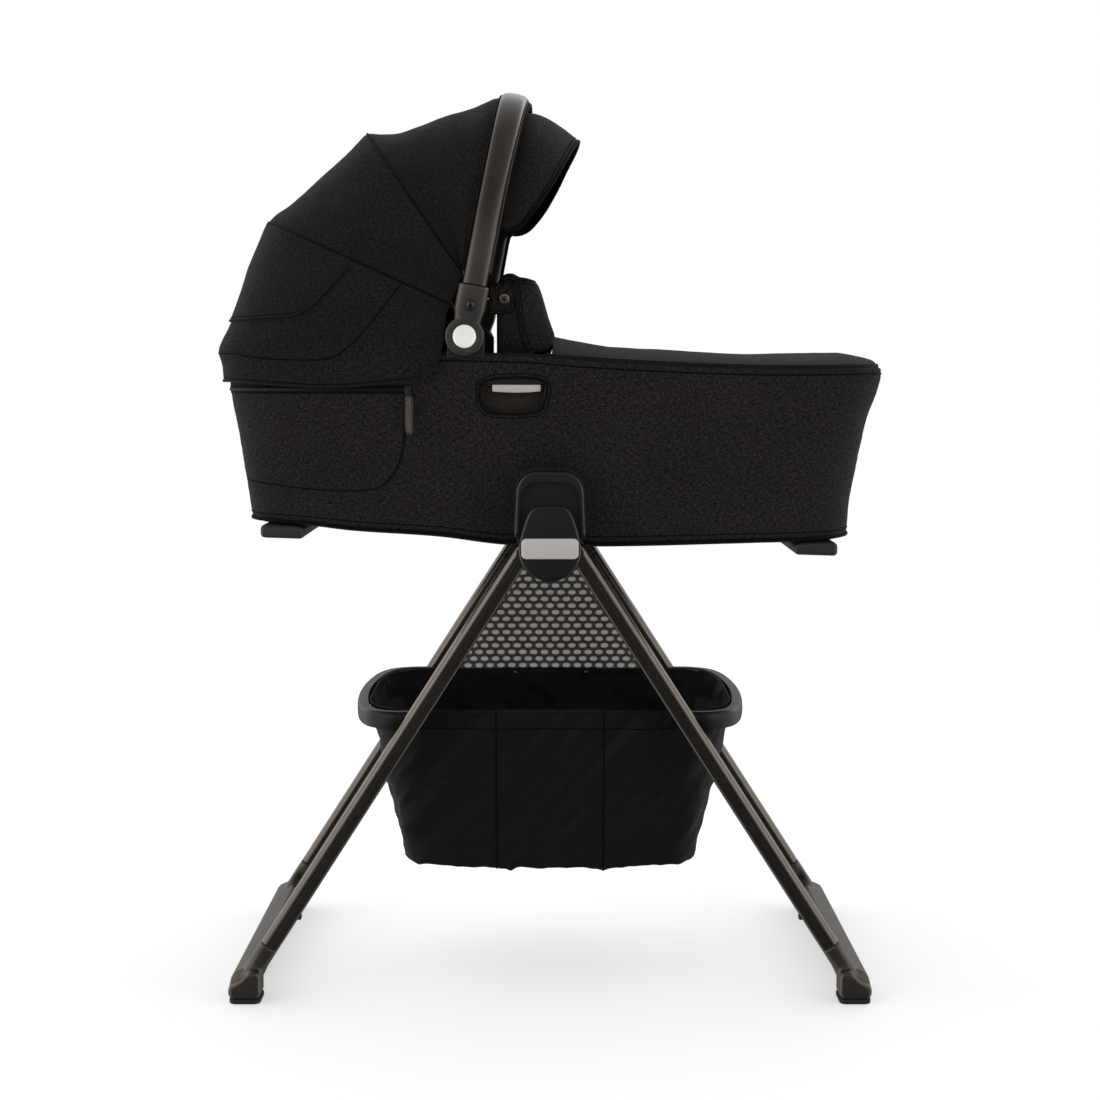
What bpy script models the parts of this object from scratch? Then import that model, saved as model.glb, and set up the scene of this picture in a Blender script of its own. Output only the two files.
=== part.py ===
"""Bassinet on a folding stand.

Frame: metres, +Z up, origin on the floor under the centre of the stand.
+X points to the foot end of the cot, +Y to its left side.
"head" parts are at -X, "foot" parts at +X, "right" parts at -Y, "left" parts at +Y.
"""

import math

import bmesh
import bpy
from mathutils import Vector

for old in list(bpy.data.objects):
    bpy.data.objects.remove(old, do_unlink=True)

# ----------------------------------------------------------------------------
# Driving dimensions (metres, radians)
# ----------------------------------------------------------------------------
GAP = 0.0003                       # air left between touching pieces

LEG_ANGLE = math.radians(32.7)     # legs from the vertical when the stand is open
LEG_PIVOT_X = 0.0332               # leg pin, from the middle of the hub
LEG_PIVOT_Z = 0.548
LEG_Y = 0.220                      # middle of each leg tube, from the centre plane
LEG_HALF_Y = 0.0107                # half depth of the tube
LEG_HALF_U = 0.0115                # half width of the tube
LEG_LENGTH = 0.5704                # pin to the seam with the foot moulding
PIN_R = 0.0037
PIN_HOLE_R = 0.0041

BAR_OUT = 0.3905                   # outer edge of the floor bar
BAR_IN = 0.3470                    # inner edge of the floor bar
BAR_END_Y = 0.2435                 # end of the floor bar
PAD_TOP = 0.0065

# outer edge of the basket ring, from an arm's end round to the middle of its bowed end
RING = [(0.1500, 0.2082), (0.1760, 0.2082), (0.1940, 0.2066), (0.2105, 0.1985), (0.2235, 0.1850),
        (0.2315, 0.1670), (0.2380, 0.1430), (0.2430, 0.1020), (0.2468, 0.0500), (0.2480, 0.0)]
RING_W = 0.0140
RING_Z0, RING_Z1 = 0.3300, 0.3520

HUB_Z = 0.552                      # centre of the round part of the hub cap
HUB_R = 0.0370
CAP_Y0, CAP_Y1 = 0.2335, 0.2490
PLATE_Y1 = 0.2515

PIVOT_X, PIVOT_Z = -0.1011, 0.8058  # canopy and handle axis
HANDLE_ANGLE = math.radians(-10.8)  # negative leans to the foot end
HANDLE_R = 0.3045                  # axis to the middle of the bow's top
HANDLE_Y = 0.2345
HANDLE_N = 2.6                     # fullness of the arch
CANOPY_Y = 0.2275
DISC_R = 0.0230
BUTTON_R = 0.0138

WALL_TOP_Y = 0.2220                # half width of the body at the rim
WALL_LOW_Y = 0.1860                # half width of the body at the base
BODY_N = 4.5                       # squareness of the body's plan
SHELL_T = 0.0040
SKID_Z, SKID_SLOPE = 0.5501, -0.0320   # plane that the cot stands on when it is off the stand

# height of the rim and of the underside along the length
RIM_Z = [(-0.44, 0.7830), (-0.20, 0.7860), (-0.036, 0.7845), (0.04, 0.7785),
         (0.167, 0.7715), (0.28, 0.7685), (0.44, 0.7705)]
BASE_Z = [(-0.42, 0.5792), (-0.30, 0.5759), (-0.24, 0.5700), (-0.137, 0.5635),
          (-0.056, 0.5535), (0.0, 0.5533), (0.067, 0.5512), (0.25, 0.5550),
          (0.35, 0.5560), (0.42, 0.5600)]
# ends of the body by level, 0 at the base and 1 at the rim
HEAD_X = [(0.0, -0.3765), (0.25, -0.3835), (0.5, -0.3910), (0.8, -0.4010), (1.0, -0.4035)]
FOOT_X = [(0.0, 0.3757), (0.3, 0.3817), (0.7, 0.3995), (0.85, 0.4105), (0.95, 0.4155), (1.0, 0.4125)]


# ----------------------------------------------------------------------------
# Small tools
# ----------------------------------------------------------------------------
def curve(table, x):
    """Smooth value through a table of (x, value)."""
    if x <= table[0][0]:
        return table[0][1]
    if x >= table[-1][0]:
        return table[-1][1]
    for i in range(len(table) - 1):
        x0, y0 = table[i]
        x1, y1 = table[i + 1]
        if x <= x1:
            m0 = (y1 - table[i - 1][1]) / (x1 - table[i - 1][0]) if i else (y1 - y0) / (x1 - x0)
            m1 = (table[i + 2][1] - y0) / (table[i + 2][0] - x0) if i + 2 < len(table) else (y1 - y0) / (x1 - x0)
            t = (x - x0) / (x1 - x0)
            h = x1 - x0
            return ((2 * t ** 3 - 3 * t ** 2 + 1) * y0 + (t ** 3 - 2 * t ** 2 + t) * h * m0
                    + (-2 * t ** 3 + 3 * t ** 2) * y1 + (t ** 3 - t ** 2) * h * m1)
    return table[-1][1]


def lerp(a, b, t):
    return a + (b - a) * t


def resample(points, count, closed=False):
    """Points at even steps along a polyline."""
    pts = [Vector(p) for p in points]
    if closed:
        pts = pts + [pts[0]]
    lengths = [0.0]
    for a, b in zip(pts, pts[1:]):
        lengths.append(lengths[-1] + (b - a).length)
    steps = count if closed else count - 1
    out, j = [], 0
    for k in range(count):
        want = lengths[-1] * k / steps
        while j < len(pts) - 2 and lengths[j + 1] < want:
            j += 1
        span = lengths[j + 1] - lengths[j]
        t = (want - lengths[j]) / span if span else 0.0
        out.append(pts[j].lerp(pts[j + 1], min(max(t, 0.0), 1.0)))
    return out


def offset_outline(outline, d):
    """Outline (counter-clockwise, 2D) moved outwards by d along its corner normals."""
    n = len(outline)
    out = []
    for i in range(n):
        p0, p1, p2 = (Vector(outline[(i + k) % n]) for k in (-1, 0, 1))
        a, b = (p1 - p0).normalized(), (p2 - p1).normalized()
        na, nb = Vector((a.y, -a.x)), Vector((b.y, -b.x))
        m = (na + nb)
        if m.length < 1e-9:
            m = na
        m.normalize()
        out.append(tuple(p1 + m * (d / max(m.dot(na), 0.35))))
    return out


def rounded_rect(cx, cy, hx, hy, r, steps=3):
    pts = []
    for qx, qy, a0 in ((1, 1, 0), (-1, 1, 90), (-1, -1, 180), (1, -1, 270)):
        for k in range(steps + 1):
            a = math.radians(a0 + 90 * k / steps)
            pts.append((cx + qx * (hx - r) + r * math.cos(a), cy + qy * (hy - r) + r * math.sin(a)))
    return pts


def circle(cx, cy, r, n):
    return [(cx + r * math.cos(2 * math.pi * k / n), cy + r * math.sin(2 * math.pi * k / n)) for k in range(n)]


def material(name, colour, rough, metal=0.0):
    mat = bpy.data.materials.new(name)
    mat.use_nodes = True
    bsdf = mat.node_tree.nodes["Principled BSDF"]
    bsdf.inputs["Base Color"].default_value = (*colour, 1.0)
    bsdf.inputs["Roughness"].default_value = rough
    bsdf.inputs["Metallic"].default_value = metal
    mat.diffuse_color = (*colour, 1.0)
    return mat


ANODISED = material("anodised_leg", (0.055, 0.050, 0.045), 0.35, 0.9)
BRONZE = material("bronze_bow", (0.075, 0.068, 0.060), 0.45, 0.3)
PLASTIC = material("black_plastic", (0.020, 0.019, 0.018), 0.45)
SATIN = material("dark_satin_plastic", (0.035, 0.033, 0.031), 0.35)
SILVER = material("silver_plate", (0.62, 0.61, 0.59), 0.30, 0.9)
STEEL = material("steel", (0.45, 0.44, 0.42), 0.35, 1.0)
RUBBER = material("rubber", (0.020, 0.020, 0.020), 0.85)
WEAVE = material("charcoal_weave", (0.030, 0.027, 0.025), 0.95)
THIN = material("black_fabric", (0.008, 0.008, 0.008), 0.9)
MESH = material("mesh_fabric", (0.09, 0.088, 0.085), 0.85)
LINING = material("lining", (0.045, 0.043, 0.042), 0.95)
PAD = material("mattress_cover", (0.62, 0.61, 0.59), 0.95)
LEATHERETTE = material("leatherette", (0.16, 0.15, 0.14), 0.7)

# joint axes: each moving body hangs on an empty that sits on its axis
BODY_AXES = {
    "stand_hub": (None, (0.0, 0.0, 0.0)),
    "head_legs": ("stand_hub", (-LEG_PIVOT_X, 0.0, LEG_PIVOT_Z)),
    "foot_legs": ("stand_hub", (LEG_PIVOT_X, 0.0, LEG_PIVOT_Z)),
    "bassinet": ("stand_hub", (0.0, 0.0, 0.6340)),
    "rear_bow": ("bassinet", (PIVOT_X, 0.0, PIVOT_Z)),
    "mid_bow": ("rear_bow", (PIVOT_X, 0.0, PIVOT_Z)),
    "handle": ("mid_bow", (PIVOT_X, 0.0, PIVOT_Z)),
    "visor": ("handle", (PIVOT_X, 0.0, PIVOT_Z)),
    "button_right": ("handle", (PIVOT_X, -0.2390, PIVOT_Z)),
    "button_left": ("handle", (PIVOT_X, 0.2390, PIVOT_Z)),
    "wind_flap": ("bassinet", (0.0060, 0.0, 0.8095)),
    "lever_right": ("bassinet", (-0.0401, -0.2100, 0.7440)),
    "lever_left": ("bassinet", (-0.0401, 0.2100, 0.7440)),
    "zip_slider": ("bassinet", (-0.1700, -0.2171, 0.7420)),
    "zip_pull": ("zip_slider", (-0.1690, -0.2210, 0.7352)),
}
AXIS = {}
for body, (parent, place) in BODY_AXES.items():
    empty = bpy.data.objects.new("axis_" + body, None)
    empty.empty_display_size = 0.03
    bpy.context.scene.collection.objects.link(empty)
    if parent:
        empty.parent = AXIS[parent][0]
        empty.location = Vector(place) - AXIS[parent][1]
    AXIS[body] = (empty, Vector(place))


def add(name, verts, faces, mat, body, sharp=35.0):
    """A mesh object whose origin lies on its body's axis."""
    empty, origin = AXIS[body]
    bm = bmesh.new()
    bv = [bm.verts.new(Vector(v) - origin) for v in verts]
    for f in faces:
        bm.faces.new([bv[i] for i in f])
    bmesh.ops.recalc_face_normals(bm, faces=bm.faces)
    mesh = bpy.data.meshes.new(name)
    bm.to_mesh(mesh)
    bm.free()
    mesh.materials.append(mat)
    obj = bpy.data.objects.new(name, mesh)
    bpy.context.scene.collection.objects.link(obj)
    obj.parent = empty
    mesh.shade_smooth()
    mesh.set_sharp_from_angle(angle=math.radians(sharp))
    return obj


def cutter(name, verts, faces):
    """A closed guide shape, only used by a Boolean."""
    obj = add("cut_" + name, verts, faces, PLASTIC, "stand_hub")
    obj.hide_render = True
    obj.display_type = "WIRE"
    return obj


def boolean(obj, tool, operation="DIFFERENCE"):
    mod = obj.modifiers.new(operation.lower(), "BOOLEAN")
    mod.operation = operation
    mod.solver = "EXACT"
    mod.object = tool
    return mod


def loft(rings):
    """Closed body through rings of equal point counts."""
    verts = [tuple(p) for ring in rings for p in ring]
    n = len(rings[0])
    faces = []
    for i in range(len(rings) - 1):
        for k in range(n):
            a, b = i * n + k, i * n + (k + 1) % n
            faces.append((a, b, b + n, a + n))
    faces.append(tuple(range(n)))
    faces.append(tuple(range((len(rings) - 1) * n, len(rings) * n)))
    return verts, faces


def tub(rings):
    """Loft whose two ends are closed by strips from side to side, so they follow the length's curve."""
    verts, faces = loft(rings)
    faces = faces[:-2]
    n = len(rings[0])
    for first in (0, (len(rings) - 1) * n):
        faces.append((first, first + 1, first + n - 1))
        for k in range(1, n // 2 - 1):
            faces.append((first + k, first + k + 1, first + n - k - 1, first + n - k))
        faces.append((first + n // 2 - 1, first + n // 2, first + n // 2 + 1))
    return verts, faces


def ring_body(rings):
    """Closed body of revolution-like rings whose last ring joins the first (a torus)."""
    verts = [tuple(p) for ring in rings for p in ring]
    n, m = len(rings[0]), len(rings)
    faces = []
    for i in range(m):
        for k in range(n):
            a, b = i * n + k, i * n + (k + 1) % n
            c, d = ((i + 1) % m) * n + (k + 1) % n, ((i + 1) % m) * n + k
            faces.append((a, b, c, d))
    return verts, faces


def thin_shell(outer, inner):
    """Closed sheet between two grids of points of the same size."""
    rows, cols = len(outer), len(outer[0])
    verts = [tuple(p) for row in outer for p in row] + [tuple(p) for row in inner for p in row]
    off = rows * cols
    faces = []
    for i in range(rows - 1):
        for k in range(cols - 1):
            a, b, c, d = i * cols + k, i * cols + k + 1, (i + 1) * cols + k + 1, (i + 1) * cols + k
            faces.append((a, b, c, d))
            faces.append((d + off, c + off, b + off, a + off))
    for i in range(rows - 1):
        a, d = i * cols, (i + 1) * cols
        faces.append((a, d, d + off, a + off))
        b, c = i * cols + cols - 1, (i + 1) * cols + cols - 1
        faces.append((c, b, b + off, c + off))
    for k in range(cols - 1):
        a, b = k, k + 1
        faces.append((b, a, a + off, b + off))
        d, c = (rows - 1) * cols + k, (rows - 1) * cols + k + 1
        faces.append((d, c, c + off, d + off))
    return verts, faces


def slab_y(outline, y0, y1, edge=0.0, edge0=0.0, steps=2):
    """Outline in X,Z pushed from y0 to y1; edge rounds the y1 side, edge0 the y0 side."""
    rings = []
    sign = 1 if y1 > y0 else -1

    def ring(inset, y):
        out = offset_outline(outline, -inset) if inset else outline
        rings.append([(x, y, z) for x, z in out])

    if edge0:
        for k in range(steps + 1):
            a = math.pi / 2 * k / steps
            ring(edge0 * (1 - math.sin(a)), y0 + sign * edge0 * (1 - math.cos(a)))
    else:
        ring(0.0, y0)
    if edge:
        for k in range(steps, -1, -1):
            a = math.pi / 2 * k / steps
            ring(edge * (1 - math.sin(a)), y1 - sign * edge * (1 - math.cos(a)))
    else:
        ring(0.0, y1)
    return loft(rings)


def slab_z(outline, z0, z1, edge=0.0, edge0=0.0):
    """Outline in X,Y pushed from z0 up to z1; edge rounds the top, edge0 the bottom."""
    rings = []

    def ring(inset, z):
        out = offset_outline(outline, -inset) if inset else outline
        rings.append([(x, y, z) for x, y in out])

    if edge0:
        ring(edge0, z0)
        ring(edge0 * 0.3, z0 + edge0 * 0.3)
        ring(0.0, z0 + edge0)
    else:
        ring(0.0, z0)
    if edge:
        ring(0.0, z1 - edge)
        ring(edge * 0.3, z1 - edge * 0.3)
        ring(edge, z1)
    else:
        ring(0.0, z1)
    return loft(rings)


# ----------------------------------------------------------------------------
# Stand: hubs
# ----------------------------------------------------------------------------
def box_xyz(x0, x1, y0, y1, z0, z1):
    return slab_y([(x0, z0), (x1, z0), (x1, z1), (x0, z1)], y0, y1)


def hub(side, s):
    """Core with its docking post, outer cap, silver plate and the two leg pins."""
    plate = [(-0.0460, 0.5655), (-0.0465, 0.5480), (-0.0400, 0.5400), (-0.0280, 0.5300), (0.0, 0.5225),
             (0.0280, 0.5300), (0.0400, 0.5400), (0.0465, 0.5480), (0.0460, 0.5655)]
    core = add("hub_core_" + side, *slab_y(plate, s * 0.2005, s * 0.2085), PLASTIC, "stand_hub")
    web = cutter("web_" + side, *box_xyz(-0.0185, 0.0185, s * 0.2060, s * 0.2330, 0.5260, 0.5650))
    post_outline = [(-0.0160, 0.5600), (0.0160, 0.5600), (0.0160, 0.6270), (0.0120, 0.6335),
                    (-0.0120, 0.6335), (-0.0160, 0.6270)]
    post = cutter("post_" + side, *slab_y(post_outline, s * 0.2100, s * 0.2226))
    boolean(core, web, "UNION")
    boolean(core, post, "UNION")

    right = [(0.0140, 0.6045), (0.0205, 0.6022), (0.0258, 0.5960), (0.0298, 0.5860), (0.0334, 0.5745),
             (0.0360, 0.5635), (0.0372, 0.5540)]
    arc = [(HUB_R * math.sin(a), HUB_Z - HUB_R * math.cos(a))
           for a in [math.radians(84 - 168 * k / 12) for k in range(13)]]
    outline = [(x, z) for x, z in reversed(right)][::-1]
    outline = list(reversed([(-x, z) for x, z in right])) + right + arc
    # counter-clockwise in X,Z
    outline = list(reversed(outline))
    add("hub_cap_" + side, *slab_y(outline, s * CAP_Y0, s * CAP_Y1, edge=0.0035, steps=3), SATIN, "stand_hub", 25)
    plate = rounded_rect(0.0, 0.5546, 0.0338, 0.0122, 0.0058, 4)
    add("hub_plate_" + side, *slab_y(plate, s * (CAP_Y1 + GAP), s * PLATE_Y1, edge=0.0008, steps=2),
        SILVER, "stand_hub", 25)
    for end, e in (("head", -1), ("foot", 1)):
        pin = circle(e * LEG_PIVOT_X, LEG_PIVOT_Z, PIN_R, 12)
        add("leg_pin_%s_%s" % (end, side), *slab_y(pin, s * 0.2088, s * 0.2332), STEEL, "stand_hub")


for side, s in (("right", -1), ("left", 1)):
    hub(side, s)


# ----------------------------------------------------------------------------
# Stand: leg frames
# ----------------------------------------------------------------------------
LEG_PROFILE_HALF = [(0.0115, 0.0), (0.0112, 0.0034), (0.0101, 0.0064), (0.0082, 0.0089), (0.0056, 0.0105),
                    (0.0034, 0.0107), (0.0031, 0.0096), (0.0019, 0.0096), (0.0015, 0.0105),
                    (-0.0098, 0.0105), (-0.0115, 0.0088)]


def leg_profile():
    half = LEG_PROFILE_HALF
    return half + [(u, -v) for u, v in reversed(half[1:])]


def leg_point(e, t, u):
    """Point at distance t down a leg and u across it (positive up and outwards)."""
    d = (e * math.sin(LEG_ANGLE), -math.cos(LEG_ANGLE))
    n = (e * math.cos(LEG_ANGLE), math.sin(LEG_ANGLE))
    return (e * LEG_PIVOT_X + d[0] * t + n[0] * u, LEG_PIVOT_Z + d[1] * t + n[1] * u)


def leg_ring(e, y, t, profile):
    out = []
    for u, v in profile:
        x, z = leg_point(e, t, u)
        out.append((x, y + v, z))
    return out


def leg(end, side, e, s):
    body = end + "_legs"
    y = s * LEG_Y
    profile = leg_profile()
    rings = []
    for t in (-0.0113, -0.0104, -0.0081, -0.0046, 0.0):
        k = math.sqrt(max(1 - (t / 0.0115) ** 2, 0.0))
        rings.append(leg_ring(e, y, t, [(u * k, v) for u, v in profile]))
    rings.append(leg_ring(e, y, LEG_LENGTH, profile))
    obj = add("leg_%s_%s" % (end, side), *loft(rings), ANODISED, body, 25)
    # the tube's bore, open at the foot
    bore = [(0.0066, -0.0056), (0.0066, 0.0056), (0.0030, 0.0080), (-0.0088, 0.0080), (-0.0096, 0.0070),
            (-0.0096, -0.0070), (-0.0088, -0.0080), (0.0030, -0.0080)]
    boolean(obj, cutter("bore_%s_%s" % (end, side),
                        *loft([leg_ring(e, y, t, bore) for t in (0.030, LEG_LENGTH + 0.02)])))
    hole = circle(e * LEG_PIVOT_X, LEG_PIVOT_Z, PIN_HOLE_R, 12)
    boolean(obj, cutter("pin_hole_%s_%s" % (end, side), *slab_y(hole, s * 0.200, s * 0.240)))
    return obj


def superoval(hu, hv, n, count):
    pts = []
    for k in range(count):
        a = 2 * math.pi * k / count
        c, q = math.cos(a), math.sin(a)
        pts.append((hu * math.copysign(abs(c) ** (2 / n), c), hv * math.copysign(abs(q) ** (2 / n), q)))
    return pts


def floor_bar(end, e):
    """The cross bar on the floor; its top sweeps up at each end into a boot that takes a leg tube."""
    body = end + "_legs"
    sect = [(BAR_IN, 0.0120), (BAR_IN + 0.0030, 0.0069), (BAR_OUT - 0.0030, 0.0069), (BAR_OUT, 0.0120),
            (BAR_OUT, 0.0200), (BAR_OUT - 0.0020, 0.0290), (BAR_OUT - 0.0060, 0.0355),
            (BAR_OUT - 0.0140, 0.0392), (BAR_IN + 0.0100, 0.0440), (BAR_IN + 0.0030, 0.0420), (BAR_IN, 0.0350)]
    end_sect = [(BAR_IN, 0.0120), (BAR_IN + 0.0030, 0.0069), (BAR_OUT - 0.0030, 0.0069), (BAR_OUT, 0.0120),
                (BAR_OUT, 0.0170), (BAR_OUT - 0.0012, 0.0215), (BAR_OUT - 0.0060, 0.0235),
                (BAR_OUT - 0.0140, 0.0285), (BAR_IN + 0.0140, 0.0400), (BAR_IN + 0.0030, 0.0400), (BAR_IN, 0.0340)]
    mid_x, mid_z = (BAR_OUT + BAR_IN) / 2, 0.0200
    rings = []
    for y, k, shape in ((-BAR_END_Y, 0.84, end_sect), (-BAR_END_Y + 0.0014, 0.95, end_sect),
                        (-BAR_END_Y + 0.0045, 1.0, end_sect), (-BAR_END_Y + 0.0120, 1.0, end_sect),
                        (-BAR_END_Y + 0.0180, 1.0, sect), (BAR_END_Y - 0.0180, 1.0, sect),
                        (BAR_END_Y - 0.0120, 1.0, end_sect), (BAR_END_Y - 0.0045, 1.0, end_sect),
                        (BAR_END_Y - 0.0014, 0.95, end_sect), (BAR_END_Y, 0.84, end_sect)):
        rings.append([(e * (mid_x + (x - mid_x) * k), y, mid_z + (z - mid_z) * k if z > 0.01 else 0.0069)
                      for x, z in shape])
    bar = add("floor_bar_" + end, *loft(rings), BRONZE, body, 30)
    # (distance down the leg, half width, reach to the end, reach to the middle)
    flow = ((LEG_LENGTH + GAP, 0.0116, 0.0108, 0.0108), (0.5800, 0.0117, 0.0109, 0.0118),
            (0.5900, 0.0118, 0.0113, 0.0165), (0.5990, 0.0119, 0.0120, 0.0270), (0.6060, 0.0120, 0.0135, 0.0430),
            (0.6120, 0.0122, 0.0155, 0.0640), (0.6170, 0.0120, 0.0165, 0.0860), (0.6230, 0.0110, 0.0150, 0.0870))
    for side, s in (("right", -1), ("left", 1)):
        neck = []
        for t, hu, out, reach in flow:
            mid, hv = s * (out - reach) / 2, (out + reach) / 2
            neck.append(leg_ring(e, s * LEG_Y, t, [(u, mid + v) for u, v in superoval(hu, hv, 3.4, 20)]))
        boolean(bar, cutter("neck_%s_%s" % (end, side), *loft(neck)), "UNION")
        pad = rounded_rect(e * (BAR_OUT + BAR_IN) / 2, s * 0.2200, 0.0210, 0.0232, 0.0085, 3)
        add("foot_pad_%s_%s" % (end, side), *slab_z(pad, 0.0, PAD_TOP, edge0=0.0026), RUBBER, body)


def basket_bracket(end, e):
    """Bowed end of the basket ring with its two arms, bolted to the two legs."""
    body = end + "_legs"
    outline = [(x, -y) for x, y in RING] + [(x, y) for x, y in reversed(RING[:-1])]
    rings = []
    for i, (x, y) in enumerate(outline):
        x0, y0 = outline[max(i - 1, 0)]
        x1, y1 = outline[min(i + 1, len(outline) - 1)]
        length = math.hypot(x1 - x0, y1 - y0)
        nx, ny = (y1 - y0) / length, -(x1 - x0) / length
        sect = [(-RING_W, RING_Z0 + 0.0015), (-RING_W + 0.0015, RING_Z0), (-0.0055, RING_Z0),
                (-0.0010, RING_Z0 + 0.0045), (0.0, RING_Z0 + 0.0100), (-0.0004, RING_Z1 - 0.0045),
                (-0.0028, RING_Z1 - 0.0008), (-0.0060, RING_Z1), (-RING_W + 0.0015, RING_Z1),
                (-RING_W, RING_Z1 - 0.0015)]
        rings.append([(e * (x + nx * o), y + ny * o, z) for o, z in sect])
    obj = add("basket_bracket_" + end, *loft(rings), PLASTIC, body, 40)
    for side, s in (("right", -1), ("left", 1)):
        x, z = e * 0.1660, 0.3410
        hole = circle(x, z, 0.0026, 8)
        boolean(obj, cutter("screw_hole_%s_%s" % (end, side), *slab_y(hole, s * 0.1850, s * 0.2120)))
        head = circle(x, z, 0.0044, 10)
        rings = [[(px, s * 0.1914, pz) for px, pz in offset_outline(head, -0.0016)],
                 [(px, s * 0.1921, pz) for px, pz in offset_outline(head, -0.0005)],
                 [(px, s * 0.1937, pz) for px, pz in head],
                 [(px, s * 0.1937, pz) for px, pz in circle(x, z, 0.0021, 10)],
                 [(px, s * 0.2086, pz) for px, pz in circle(x, z, 0.0021, 10)]]
        add("bracket_screw_%s_%s" % (end, side), *loft(rings), STEEL, body)


for end, e in (("head", -1), ("foot", 1)):
    for side, s in (("right", -1), ("left", 1)):
        leg(end, side, e, s)
    floor_bar(end, e)
    basket_bracket(end, e)


# ----------------------------------------------------------------------------
# Basket bag and the net between the left legs
# ----------------------------------------------------------------------------
def basket_bag():
    levels = [(0.3500, 0.2290, 0.1900), (0.3100, 0.2150, 0.1870), (0.2620, 0.1993, 0.1830), (0.2090, 0.1835, 0.1780),
              (0.1680, 0.1775, 0.1740), (0.1560, 0.1740, 0.1700)]
    rings = []
    count = 32
    for z, hx, hy in levels:
        rings.append([(x, y, z) for x, y in oval(hx, hy, 5.0, count)])
    inner = []
    for z, hx, hy in reversed(levels[:-1]):
        inner.append([(x, y, z) for x, y in oval(hx - 0.0025, hy - 0.0025, 5.0, count)])
    inner.insert(0, [(x, y, 0.1590) for x, y in oval(0.1700, 0.1660, 5.0, count)])
    verts, faces = loft(list(reversed(rings)) + list(reversed(inner)))
    add("basket_bag", verts, faces, THIN, "stand_hub")


def oval(hx, hy, n, count):
    dense = superoval(hx, hy, n, 720)
    return [(p.x, p.y) for p in resample([(x, y, 0) for x, y in dense], count, closed=True)]


basket_bag()

net = [(-0.1390, 0.3545), (0.1390, 0.3545), (0.0330, 0.5180), (-0.0330, 0.5180)]
add("basket_net", *slab_y(net, 0.2040, 0.2065), MESH, "stand_hub")


# ----------------------------------------------------------------------------
# Cot body
# ----------------------------------------------------------------------------
def body_plan(level, inset, count, n=BODY_N):
    """Plan outline of the cot at a level (0 base, 1 rim), moved in by inset."""
    hw = lerp(WALL_LOW_Y, WALL_TOP_Y, level) - inset
    x0, x1 = curve(HEAD_X, level) + inset, curve(FOOT_X, level) - inset
    dense = superoval((x1 - x0) / 2, hw, n, 720)
    xc = (x0 + x1) / 2
    return [(xc + p.x, p.y) for p in resample([(x, y, 0) for x, y in dense], count, closed=True)]


def body_ring(level, inset, count, dz=0.0, n=BODY_N):
    return [(x, y, lerp(curve(BASE_Z, x), curve(RIM_Z, x), level) + dz) for x, y in body_plan(level, inset, count, n)]


COT_N = 48
shell_rings = [body_ring(0.0, 0.0050, COT_N), body_ring(0.014, 0.0012, COT_N), body_ring(0.045, 0.0, COT_N),
               body_ring(0.45, 0.0, COT_N), body_ring(0.80, 0.0, COT_N), body_ring(0.95, 0.0, COT_N),
               body_ring(1.0, 0.0006, COT_N),
               body_ring(1.0, SHELL_T, COT_N), body_ring(0.80, SHELL_T, COT_N), body_ring(0.45, SHELL_T, COT_N),
               body_ring(0.045, SHELL_T, COT_N), body_ring(0.0, 0.0080, COT_N, SHELL_T)]
shell = add("body_cover", *tub(shell_rings), WEAVE, "bassinet")
WINDOW = [(-0.0765, 0.7149), (-0.0443, 0.7125), (-0.0120, 0.7155), (-0.0070, 0.7255), (-0.0036, 0.7363),
          (-0.0036, 0.7500), (-0.0119, 0.7560), (-0.0370, 0.7576), (-0.0669, 0.7563), (-0.0837, 0.7500),
          (-0.0848, 0.7268)]
for side, s in (("right", -1), ("left", 1)):
    boolean(shell, cutter("window_" + side, *slab_y(WINDOW, s * 0.195, s * 0.240)))

tray_rings = [body_ring(0.0, 0.0100, COT_N, 0.0048), body_ring(0.050, 0.0054, COT_N),
              body_ring(0.105, 0.0050, COT_N), body_ring(0.105, 0.0096, COT_N),
              body_ring(0.0, 0.0200, COT_N, 0.0120)]
add("base_tray", *tub(tray_rings), PLASTIC, "bassinet")


def base_skid(end, x0, x1):
    """Cross rail under the base that the cot stands on off its stand. Both soles lie in one plane."""
    ys = 0.1680
    drop0, drop1 = (SKID_Z + SKID_SLOPE * x for x in (x0, x1))
    rings = []
    for y, k in ((-ys, 0.0), (-ys + 0.0035, 1.0), (ys - 0.0035, 1.0), (ys, 0.0)):
        i = 0.0030 * (1 - k)
        t0, t1 = curve(BASE_Z, x0) - 0.0004, curve(BASE_Z, x1) - 0.0004
        rings.append([(x0 + i, y, t0), (x0 + 0.0012 + i, y, drop0 + 0.0030 + i), (x0 + 0.0040 + i, y, drop0 + i),
                      (x1 - 0.0040 - i, y, drop1 + i), (x1 - 0.0012 - i, y, drop1 + 0.0030 + i), (x1 - i, y, t1)])
    add("base_skid_" + end, *loft(rings), PLASTIC, "bassinet")


base_skid("head", -0.3548, -0.3018)
base_skid("foot", 0.2996, 0.3526)

LINER_N = 40
LINER_IN = 0.0185
liner_rings = [body_ring(0.0, 0.0420, LINER_N, 0.0142), body_ring(0.075, 0.0210, LINER_N, 0.0),
               body_ring(0.12, LINER_IN, LINER_N), body_ring(0.55, LINER_IN, LINER_N),
               body_ring(0.985, LINER_IN, LINER_N),
               body_ring(0.985, LINER_IN + 0.0025, LINER_N), body_ring(0.55, LINER_IN + 0.0025, LINER_N),
               body_ring(0.12, LINER_IN + 0.0025, LINER_N), body_ring(0.085, 0.0250, LINER_N, 0.0),
               body_ring(0.0, 0.0440, LINER_N, 0.0167)]
add("inner_liner", *tub(liner_rings), LINING, "bassinet")


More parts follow.
